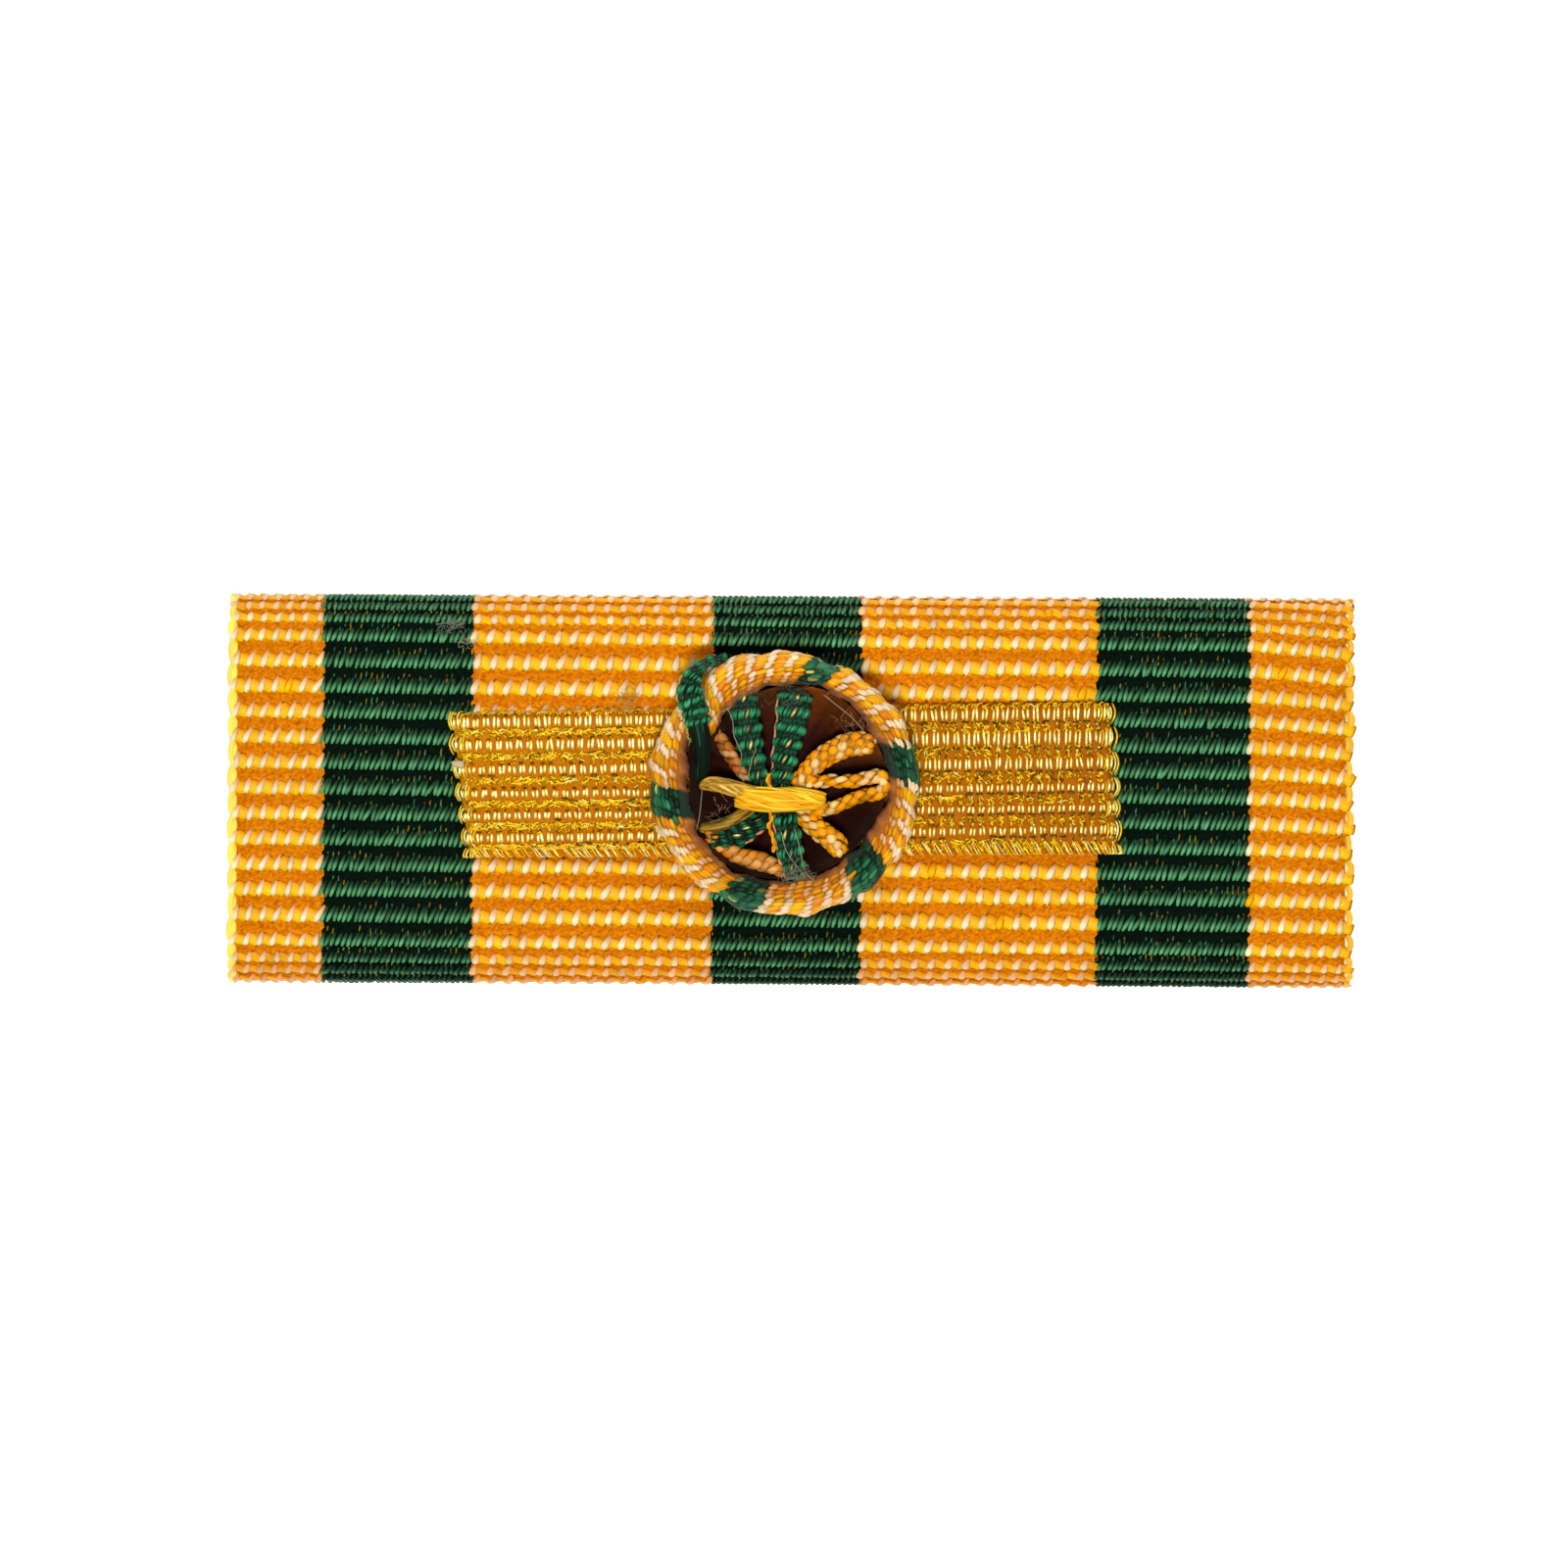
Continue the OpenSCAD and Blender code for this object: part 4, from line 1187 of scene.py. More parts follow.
class RIBBONBAR_OT_lace(PieceOperator, bpy.types.Operator):
    """Gold lace: amber ground, wires over its ribs, looped ends and turned edges"""
    bl_idname = "ribbonbar.lace"
    bl_label = "Gold lace"

    def make(self, scene):
        """Makes the lace's ground and its wires."""
        s = scene.ribbonbar_lace
        place = LacePlace(s)
        material = wire_material()
        self.ground(s, place)
        self.wires(s, place, material)
        self.crinkled(s, place, material)
        self.edges(s, place, material)

    def ground(self, s, place):
        """Closed strip: the rib height over a grid of u and row, rounded down at its edges.
        Its tint goes from the shadow colour in the grooves to amber, darker to the right."""
        across, down, end_gap = 60, 80, 0.004
        first, last = -0.34, place.rows - 0.66
        u = np.linspace(end_gap, 1 - end_gap, across)[:, None]
        row = np.linspace(first, last, down)[None]
        edge = swelling(2 * (row - first) / (last - first) - 1, 20)
        top = place.at(u, row, blend(0.02, place.ribs(row), edge))
        under = place.at(u, row, 0)
        high = np.clip((place.ribs(row) - place.groove) / 0.06, 0, 1)[..., None]
        grooves = (1 - high) * (1 - 0.85 * u[..., None])
        tint = blend(s.amber, s.shadow, grooves) * (1 - 0.32 * u[..., None])
        sheaf = Sheaf(seed=21)
        sheaf.strip(top, under, tint, tint[:, ::-1], together(1.5 * row, u))
        material = yarn_material("Lace silk", roughness=0.55, across=300.0, specular=0.05)
        return sheaf.make("lace_ground", material, "gold_lace", replaces=["gold_lace"])

    def wires(self, s, place, material):
        """Bright pairs: for every column and row two arched wires side by side, leaning a
        little, height = 0.43 - 0.022 t - 0.008 t^2 - 0.10 t^8. Each wire's middle is a painted
        highlight in pale gold, fading to gold, and its tips get painted shade in dark olive
        where they dip into the grooves: the upper ends on the left and the lower ends on the
        right."""
        sheaf = Sheaf(seed=22)
        u, row, side = combinations(place.columns, np.arange(place.rows - 1), [-1, 1])
        rand = sheaf.variation(len(u))
        half = place.half_wire(u, row) * (1 + rand(0.12))
        t, swell = blunt(9, 4)
        # Share of painted shade at the wires' ends: the lower ends towards the right, the upper
        # ends towards the left.
        wear_and_shade = np.where(t > 0, u, 1 - u)
        u = u + (0.19 * side - (0.05 + rand(0.05)) * t) / s.columns
        u = u + rand(0.03) / s.columns
        way = row + half * t + rand(0.02) + 0.04
        height = 0.43 - 0.022 * t - 0.008 * t ** 2 - 0.10 * t ** 8 + rand(0.003)
        # Painted highlight in the wire's middle fading to gold, and painted shade in the dark olive
        # at its tips.
        dull = np.clip((np.abs(t) - 0.45) / 0.25, 0, 1)[..., None]
        end = 0.8 * np.where(np.abs(t) > 0.9, wear_and_shade, 0)[..., None]
        tint = blend(blend(s.highlight_gold, s.gold, dull), s.tarnish_and_shade, end)
        tint = tint * np.clip(1 + rand(0.10), 0.6, 1.1)[..., None]
        wide = (0.060 - 0.015 * u.mean(axis=1, keepdims=True)) * swell
        sheaf.threads(place.at(u, way, height), UP, wide, 0.022 * swell, tint)
        self.specks(s, place, sheaf)
        return sheaf.make("lace_wires", material, "gold_lace")

    def specks(self, s, place, sheaf):
        """Small dark bits beside the pairs, painted shade where the pairs dip into the grooves:
        over them on the left, under them on the right."""
        u, row = combinations(place.columns, np.arange(place.rows - 1))
        n = len(u)
        rand = sheaf.variation(n)
        t = np.linspace(-1, 1, 5)[None]
        side = np.where(sheaf.random.random((n, 1)) < u, 1, -1)
        way = row + 0.04 + side * (place.half_wire(u, row) + 0.045) + rand(0.02) * t
        across = u + (rand(0.08) + np.where(side > 0, 0.40, 0.24) * t) / s.columns
        path = place.at(across, way + rand(0.02), 0.39)
        tint = np.array(s.tarnish_and_shade) * sheaf.random.uniform(0.3, 1.3, (n, 1, 1))
        swell = swelling(t, 4)
        sheaf.threads(path, UP, 0.034 * swell, 0.02 * swell, tint, sides=4)

    def crinkled(self, s, place, material):
        """Finer wires between the rows of pairs: short dashes that lean either way. On the
        left they make a level band, and towards the right they stand in columns over the
        pairs of the next row."""
        sheaf = Sheaf(seed=24)
        dashes = 6100
        rand = sheaf.variation(dashes)

        def even(low, high):
            """Random number between two values for each dash."""
            return sheaf.random.uniform(low, high, (dashes, 1))

        row = sheaf.random.integers(0, place.rows, (dashes, 1)) - 0.45
        u = even(0.012, 0.988)
        stacked = even(0, 1) < 1.1 * u
        over = (np.floor(u * s.columns) + 0.5 + rand(0.15)) / s.columns
        u = np.where(stacked, over, u)
        t = np.linspace(-1, 1, 5)[None]
        offset = np.where(stacked, even(-0.20, 0.26), even(-0.20, 0.08))
        keep = ((row > 0) | (offset > 0.08))[:, 0]
        way = row + offset + even(0.05, 0.11) * t
        lean = rand(1) * np.where(stacked, 0.16, 0.34) / s.columns
        height = 0.345 + 0.03 * np.cos(np.pi * t / 2) + 0.25 * np.maximum(offset, 0)
        path = place.at(u + lean * t, way, height + rand(0.012))
        kind = even(0, 1)
        # Mostly gold; a few dark olive dashes, more towards the right; one in twenty pale gold as a
        # painted glint.
        tint = np.where(kind < 0.98 - 0.14 * u, s.gold, s.tarnish_and_shade)
        tint = np.where(kind < 0.05, s.highlight_gold, tint) * (1 + rand(0.15))
        swell = swelling(t, 4)
        wide = np.where(stacked, 0.027, 0.032) * swell
        sheaf.threads(path[keep], UP, wide[keep], 0.026 * swell, tint[keep, None], sides=4)
        return sheaf.make("lace_crinkled_wires", material, "gold_lace")

    def edges(self, s, place, material):
        """Slanting wires along the bottom, small hooks along the top and loops at the ends."""
        sheaf = Sheaf(seed=23)
        self.bottom(s, place, sheaf)
        self.hooks(s, place, sheaf)
        self.loops(s, place, sheaf)
        return sheaf.make("lace_edge_wires", material, "gold_lace")

    def bottom(self, s, place, sheaf):
        """Wires that slant down to the right and go round the bottom edge: row = 5.42 +
        0.92 t, height = 0.33 + 0.10 sin(pi t^0.8) - 0.33 t^6."""
        t = np.linspace(0, 1, 9)[None]
        rand = sheaf.variation(s.columns)
        height = 0.33 + 0.10 * np.sin(np.pi * t ** 0.8) - 0.33 * t ** 6
        size = 0.025 * swelling(2 * t - 1, 5)
        for strand in (-0.5, 0.0, 0.5):
            slant = 0.4 * strand + (1.1 + rand(0.2)) * t
            u = place.columns[:, None] + slant / s.columns
            row = 5.42 + 0.92 * t + rand(0.03)
            inside = (u.max(axis=1) < 0.998) & (u.min(axis=1) > 0.002)
            # About a third of these wires take the pale gold as a painted highlight.
            pale = sheaf.random.random((s.columns, 1)) < 0.35
            tint = np.where(pale, s.highlight_gold, s.gold) * (1 + rand(0.12))
            sheaf.threads(place.at(u, row, height)[inside], UP, size, size, tint[inside, None])

    def hooks(self, s, place, sheaf):
        """Small wire ends that curl up and to the right along the top edge: row = -0.22 -
        0.17 reach sin(0.62 pi t), height = 0.34 - 0.14 t + 0.05 sin(pi t)."""
        t = np.linspace(0, 1, 8)[None]
        rand = sheaf.variation(s.columns)
        height = 0.34 - 0.14 * t + 0.05 * np.sin(np.pi * t)
        size = 0.028 * swelling(2 * t - 1, 5)
        for strand in (-0.4, 0.1, 0.5):
            reach = sheaf.random.uniform(0.5, 1.4, (s.columns, 1))
            u = place.columns[:, None] + (strand * 0.6 + 0.45 * reach * t * t) / s.columns
            row = -0.22 - 0.17 * reach * np.sin(np.pi * 0.62 * t)
            inside = (u.max(axis=1) < 0.997) & (u.min(axis=1) > 0.003)
            tint = np.array(s.gold) * (0.9 + rand(0.2))
            sheaf.threads(place.at(u, row, height)[inside], UP, size, size, tint[inside, None])

    def loops(self, s, place, sheaf):
        """Wires that turn round the two ends: from groove to groove an arc that bulges by
        bulge * cos(pi * t / 2), several beside each other."""
        rand = sheaf.variation(place.rows)
        t = np.linspace(-1, 1, 13)[None]
        arch = np.cos(np.pi * t / 2)
        size = 0.034 * swelling(t, 5)
        for side, strand in itertools.product((-1, 1), range(5)):
            bulge = (0.0062 - 0.0008 * strand) * (1 + rand(0.15))
            slide = rand(0.0006) - 0.0016 * t
            u = (side > 0) + side * (bulge * arch - 0.0042 * strand - 0.001) + slide
            reach = 0.46 - 0.03 * strand + rand(0.03)
            row = np.arange(place.rows)[:, None] + reach * t + 0.06 * side
            path = place.at(u, row, 0.14 + 0.06 * strand + 0.08 * arch)
            # Every other strand takes the pale gold as a painted highlight.
            tint = np.array(s.highlight_gold if strand % 2 else s.gold) * (1 + rand(0.08))
            sheaf.threads(path, UP, size, size, tint[:, None])


class RosettePlace:
    """Places on the rosette's rim and strands, in mm."""

    seat_gap = 0.03  # between the lace and the rosette
    fall = 0.7  # length over which the rim comes down past the lace's edge
    square = 2.6  # squareness of the rim's section: 2 is an ellipse
    pleat_square = 2.2  # squareness of a strand's section
    tip = 0.45  # size of a strand's tip as a share of its section

    def __init__(self, settings, lace):
        self.s = settings
        self.radius = settings.diameter / 2
        self.base = LACE_TOP + self.seat_gap
        self.height = RIM_TOP - self.base
        self.lace_half = lace.height_right / 2
        self.lace_y = lace.place_y

    def seat(self, y):
        """Height of what the rim stands on: the lace, or past its edge the ribbon."""
        past = np.abs(y + self.s.place_y - self.lace_y) - self.lace_half
        past = np.clip(past / self.fall, 0, 1)
        t = past * past * (3 - 2 * past)
        return self.seat_gap + blend(LACE_TOP, RIBBON_HIGH[2], t)

    def rim_row(self, turn):
        """The rim's table in a direction (degrees)."""
        return smooth_rows(RIM, np.interp(turn, RIM[:, 0], np.arange(len(RIM))))

    def rim(self, turn, section, inset=0.0):
        """Point of the rolled rim in a direction (degrees) and at an angle round its section
        (degrees: 0 outside, 90 on top, 180 inside): a rounded square between the table's
        inner and outer radius and between the seat and the top. Small waves round the rim
        make it uneven: 0.05 sin(13 turn + 0.8) + 0.04 sin(23 turn + 2.1) wide and
        0.06 sin(17 turn + 1) high."""
        row = self.rim_row(turn)
        a, b = np.radians(section), np.radians(turn)
        wide = 0.05 * np.sin(13 * b + 0.8) + 0.04 * np.sin(23 * b + 2.1)
        high = 0.06 * np.sin(17 * b + 1)
        r = self.radius * blend(row[..., 1], row[..., 2], squared(np.cos(a), self.square))
        r = r + (wide - inset) * np.cos(a)
        y = r * np.sin(b)
        top = self.base + self.height * row[..., 3]
        z = blend(self.seat(y), top, squared(np.sin(a), self.square))
        z = z - inset * np.sin(a) + high * np.maximum(np.sin(a), 0)
        return self.place(r * np.cos(b), y, z)

    def rim_inner(self, turn):
        """Inner radius of the rim, keeping inside its tucked end."""
        first = RIM[0, 0] + 15
        return self.radius * self.rim_row(first + (turn - first) % 360)[..., 1]

    def place(self, x, y, z):
        """Point from places measured from the rosette's middle."""
        return together(x + self.s.place_x, y + self.s.place_y, z)

    def over_face(self, points):
        """Points from places measured from the rosette's middle and the ribbon's face."""
        return self.place(points[..., 0], points[..., 1], RIBBON_HIGH[2] + points[..., 2])

    def strand(self, rows, share, angle, inset=0.0, depth=None):
        """Point of a strand and its outward direction, at a share of its length and an angle
        round its section (degrees: 0 left side, 90 crest, 180 right side): a rounded square
        as wide as its table says and as deep as a pleat, smaller towards both ends by
        tip + (1 - tip) sqrt(1 - (1 - share / 0.06)^2)."""
        last = len(rows) - 1
        step, tip_share = 0.02, 0.06
        at = np.clip(share, 0, 1) * last
        here = smooth_rows(rows, at)
        ahead = (smooth_rows(rows, np.clip(at + step, 0, last))
                 - smooth_rows(rows, np.clip(at - step, 0, last)))
        length = np.hypot(ahead[..., 0], ahead[..., 1])
        side = together(-ahead[..., 1] / length, ahead[..., 0] / length, 0)
        a = np.radians(angle)
        tip = np.clip(np.minimum(share, 1 - share) / tip_share, 0, 1)
        tip = blend(self.tip, 1, np.sqrt(1 - (1 - tip) ** 2))
        half = self.radius * here[..., 2] / 2 * tip - inset
        deep = (depth or self.s.pleat_depth) / 2
        z = (self.base + self.height * here[..., 3] - deep
             + (deep * tip - inset) * (2 * squared(np.sin(a), self.pleat_square) - 1))
        across = half * (2 * squared(np.cos(a), self.pleat_square) - 1)
        points = self.place(self.radius * here[..., 0], self.radius * here[..., 1], z)
        out = side * np.cos(a)[..., None] + UP * np.sin(a)[..., None]
        return points + side * across[..., None], out

    def strand_length(self, rows):
        """Length of a strand along its crest."""
        line, _ = self.strand(rows, np.linspace(0, 1, 60), np.full(60, 90.0))
        return distances(line)[-1]

    def strand_width(self, rows, share):
        """Width of a strand at the middle of each row of shares."""
        at = share.mean(axis=1) * (len(rows) - 1)
        return self.radius * smooth_rows(rows, at)[:, 2:3]


class RIBBONBAR_OT_rim(PieceOperator, bpy.types.Operator):
    """Rolled rim and bowl of the rosette with the yarns over the rim"""
    bl_idname = "ribbonbar.rim"
    bl_label = "Rosette rim and bowl"

    def make(self, scene):
        """Makes the rim, its yarns and the bowl."""
        s = scene.ribbonbar_rosette
        place = RosettePlace(s, scene.ribbonbar_lace)
        self.rim(s, place)
        self.yarns(s, place)
        self.bowl(s, place)

    def rim(self, s, place):
        """Closed roll: the rim's section carried round its table, a little under the yarns,
        with a low ripple along each column of yarn and round each row. Inside the rim the
        tint has painted shade: it darkens to a dull orange with pinkish columns and then,
        deeper down, to the inner cloth's colour."""
        turns, around = 340, 56
        turn = np.linspace(RIM[0, 0], RIM[-1, 0], turns)[:, None]
        section = (360 * np.arange(around) / around)[None]
        across = turn - swirl(section)
        ripple = 0.012 * np.cos(np.radians(across * s.columns))
        ripple = ripple + 0.014 * np.cos(np.radians(section * 28))
        points = place.rim(turn, section, inset=0.076 - ripple)
        under = np.clip((330 - section) / 60, 0, 1)
        inner = (np.clip((section - 90) / 30, 0, 1) * under)[..., None]
        depth = (np.clip((section - 130) / 70, 0, 1) * under)[..., None]
        column = 0.5 + 0.5 * np.cos(np.radians(across * s.columns / 2))[..., None]
        # Painted shade inside the rim: the orange darkened with its pinkish pale columns, and
        # deeper down the inner cloth's colour.
        shaded_inner = np.array(s.orange) * 0.56 + np.array(linear("D08A60")) * 0.36 * column ** 2
        deep = np.array(s.brown) * (0.6 + 0.4 * column)
        tint = blend(blend(s.orange, shaded_inner, inner), deep, depth)
        tint = blend(tint, np.array(s.green) * 0.10, green_share(across)[..., None])
        sheaf = Sheaf(seed=31)
        sheaf.tube(points, tint, together(turn / 4, section / 14))
        material = yarn_material("Rosette cloth", roughness=0.55, across=9.0, bump=0.8,
                                 sheen=0.1, specular=0.15, contrast=0.4)
        return sheaf.make("rim_roll", material, "rosette_cloth", replaces=["rosette_rim"])

    def yarns(self, s, place):
        """Two strokes in each column and row, wide round the rim and short along its section.
        A stroke is the path turn = middle + reach t, way = row + lean t on the rim's surface,
        lifted by 0.03 cos(pi t / 2) - 0.02 t^4, and more for the pale columns. From row to
        row the columns move on, which gives the rim its swirl."""
        foot, inside, straight_down = -58, 122, 270.0
        section = np.linspace(foot, inside, 300)
        run = distances(place.rim(straight_down, section))
        rows = np.arange(0.1, run[-1], s.row_pitch)
        pitch = 360 / s.columns
        columns = np.arange(int((RIM[-1, 0] - RIM[0, 0]) / pitch) + 3)
        row, column, side = combinations(np.arange(len(rows)), columns, [-1, 1])
        sheaf = Sheaf(seed=32)
        rand = sheaf.variation(len(row))
        t, swell = blunt(7, 6)
        pale = column % 2 == 0
        reach = np.where(pale, 0.42, 0.60) * pitch * (1 + rand(0.12))
        way = rows[row] + np.where(pale, 0.21, 0.24) * s.row_pitch * side + rand(0.010)
        way = np.clip(way + (0.04 + rand(0.012)) * t, 0, run[-1])
        angle = np.interp(way, run, section)
        shift = 0.05 * side + np.where(row % 2 == 0, 0.10, -0.10)
        turn = RIM[0, 0] + (column + shift) * pitch + swirl(angle) + reach * t + rand(0.22)
        end_gap, middle = 0.4, t.size // 2
        keep = (turn.min(axis=1) > RIM[0, 0] + end_gap) & (turn.max(axis=1) < RIM[-1, 0] - end_gap)
        keep &= angle[:, middle] < 116 - 9 * np.cos(np.radians(2 * turn[:, middle]))
        lift = 0.030 * np.cos(np.pi * t / 2) - 0.02 * t ** 4 + rand(0.010)
        lift = lift + np.where(pale, 0.014, -0.006)
        path = place.rim(turn, angle, inset=0.06 - lift)
        out = unit(place.rim(turn, angle, inset=-1.0) - place.rim(turn, angle))
        wide = np.where(pale, 0.070, 0.080) * (1 + rand(0.12)) * swell
        tint = self.colours(s, sheaf, t, column[:, 0], turn, angle)
        sheaf.threads(path[keep], out[keep], wide[keep], 0.046 * swell, tint[keep])
        return sheaf.make("rim_yarns", rosette_yarn(), "rosette_cloth")

    def colours(self, s, sheaf, t, column, turn, angle):
        """Pale and yellow columns in turn, green in the green stretches, and inside a flat orange
        in painted shade, which starts sooner on the upper side. The upper side also carries
        painted light, and each stroke is lit in its middle.
        """
        n = len(column)
        chance = sheaf.random.random
        pale = (column % 2 == 0) & (chance(n) > 0.04)
        stray = (column % 2 == 1) & (chance(n) < 0.02)
        warm = np.where((chance(n) < 0.28)[:, None], s.orange, s.yellow)
        base = np.where((pale | stray)[:, None], s.pale, warm)
        green = green_share((turn - swirl(angle)).mean(axis=1) + chance(n) * 2.4 - 1.2) > 0.5
        leafy = np.array(s.green) * (0.12 + 0.75 * chance(n) ** 2)[:, None]
        base = np.where(green[:, None], leafy, base)
        base = np.where((green & (chance(n) < 0.03))[:, None], s.fleck, base)
        upper = np.clip(np.sin(np.radians(turn.mean(axis=1))), 0, 1)
        # Painted shade on the strokes of the rim's inner slope, starting sooner on the upper side.
        inner = np.clip((angle.mean(axis=1) - 76 - 16 * upper) / 24, 0, 1)[:, None]
        shaded_inner = np.where(green[:, None], base * 0.35, base * 0.22 + np.array(s.orange) * 0.55)
        base = blend(base, shaded_inner, inner)
        lit = (0.82 + 0.18 * np.exp(-((t + 0.1) / 0.55) ** 2))[..., None]
        # Painted light: the upper side of the rim 12 % lighter, with a random tone for each stroke.
        shade = 0.95 + 0.12 * upper[:, None, None] + sheaf.random.normal(0, 0.13, (n, 1, 1))
        return base[:, None] * lit * shade

    def bowl(self, s, place):
        """Closed dish: the bowl's table carried round, with a wall towards the rim that rises
        by 0.34 ((share of the radius - 0.62) / 0.35)^1.5 of the height, in folds that rise
        and fall like cos(9 a + 2) + cos(14 a + 1) + 0.6 cos(23 a). Its tint is painted light
        and shade: the shaded maroon at the bottom, with painted light towards the rim, on the
        crests of its folds and on the side that faces the light."""
        sides, per_row, overlap, top_level = 216, 5, 1.04, 0.14
        light_side = np.radians(55)
        at = np.linspace(0, len(BOWL) - 1, (len(BOWL) - 1) * per_row + 1)
        rows = smooth_rows(BOWL, at)[::-1][:, None]
        turn = (360 * np.arange(sides) / sides)[None]
        a = np.radians(turn)
        radius = rows[..., 0] * place.rim_inner(turn) * overlap
        share = np.clip(rows[..., 0], 0, 1)
        folds = (np.cos(9 * a + 2) + np.cos(14 * a + 1) + 0.6 * np.cos(23 * a)) * share
        wall = 0.34 * np.clip((share - 0.62) / 0.35, 0, 1) ** 1.5
        rise = place.height * wall + 0.10 * folds * (0.4 + share)
        z = place.base + place.height * rows[..., 1] + np.where(rows[..., 1] > top_level, rise, 0)
        points = place.place(radius * np.cos(a), radius * np.sin(a), np.maximum(z, place.base))
        # Painted light on the crests of the folds and towards the rim, stronger on the side that
        # faces the light; painted shade (the shaded maroon) below.
        fold_light = np.clip(0.45 * folds, 0, 1) * share ** 2
        near = np.clip((share - 0.5) / 0.5, 0, 1)[..., None] ** 1.5
        facing = 0.10 + 0.90 * np.clip(np.cos(a - light_side), 0, 1)[..., None] ** 2
        tint = blend(s.shaded_maroon, np.array(s.brown) * 0.28 * facing, near)
        tint = tint + np.array(s.brown) * 0.38 * fold_light[..., None] * facing
        sheaf = Sheaf(seed=33)
        sheaf.tube(points, tint, together(turn / 8, rows[..., 0] * 3))
        material = yarn_material("Bowl cloth", roughness=0.7, across=9.0, bump=0.8, sheen=0.05,
                                 specular=0.1)
        return sheaf.make("bowl_cloth", material, "rosette_inner_cloth",
                          replaces=["rosette_bowl"])


def rosette_yarn():
    """The yarn of the rosette's cloths and braids."""
    return yarn_material("Rosette yarn", across=16.0, specular=0.16, contrast=0.20, soil=0.08)


def swirl(section):
    """Turn in degrees by which the columns have moved on at an angle round the section."""
    return (section + 20) * 0.05


def green_share(turn):
    """How far a direction lies in one of the rim's green stretches, from 0 to 1."""
    away = np.abs(np.asarray(turn)[..., None] - RIM_GREENS[:, 0]) - RIM_GREENS[:, 1]
    return np.clip(0.5 - away.min(axis=-1) / 2, 0, 1)


def closed_core(sheaf, place, rows, colour, inset, depth=None, span=(0, 1)):
    """Closed core of a strand: its section carried along a span of it, inside its yarns."""
    stations, around = 40, 16
    share = np.linspace(*span, stations)[:, None]
    angle = (360 * np.arange(around) / around)[None]
    points, _ = place.strand(rows, share, angle, inset, depth)
    sheaf.tube(points, colour, together(share * 4, angle / 36))


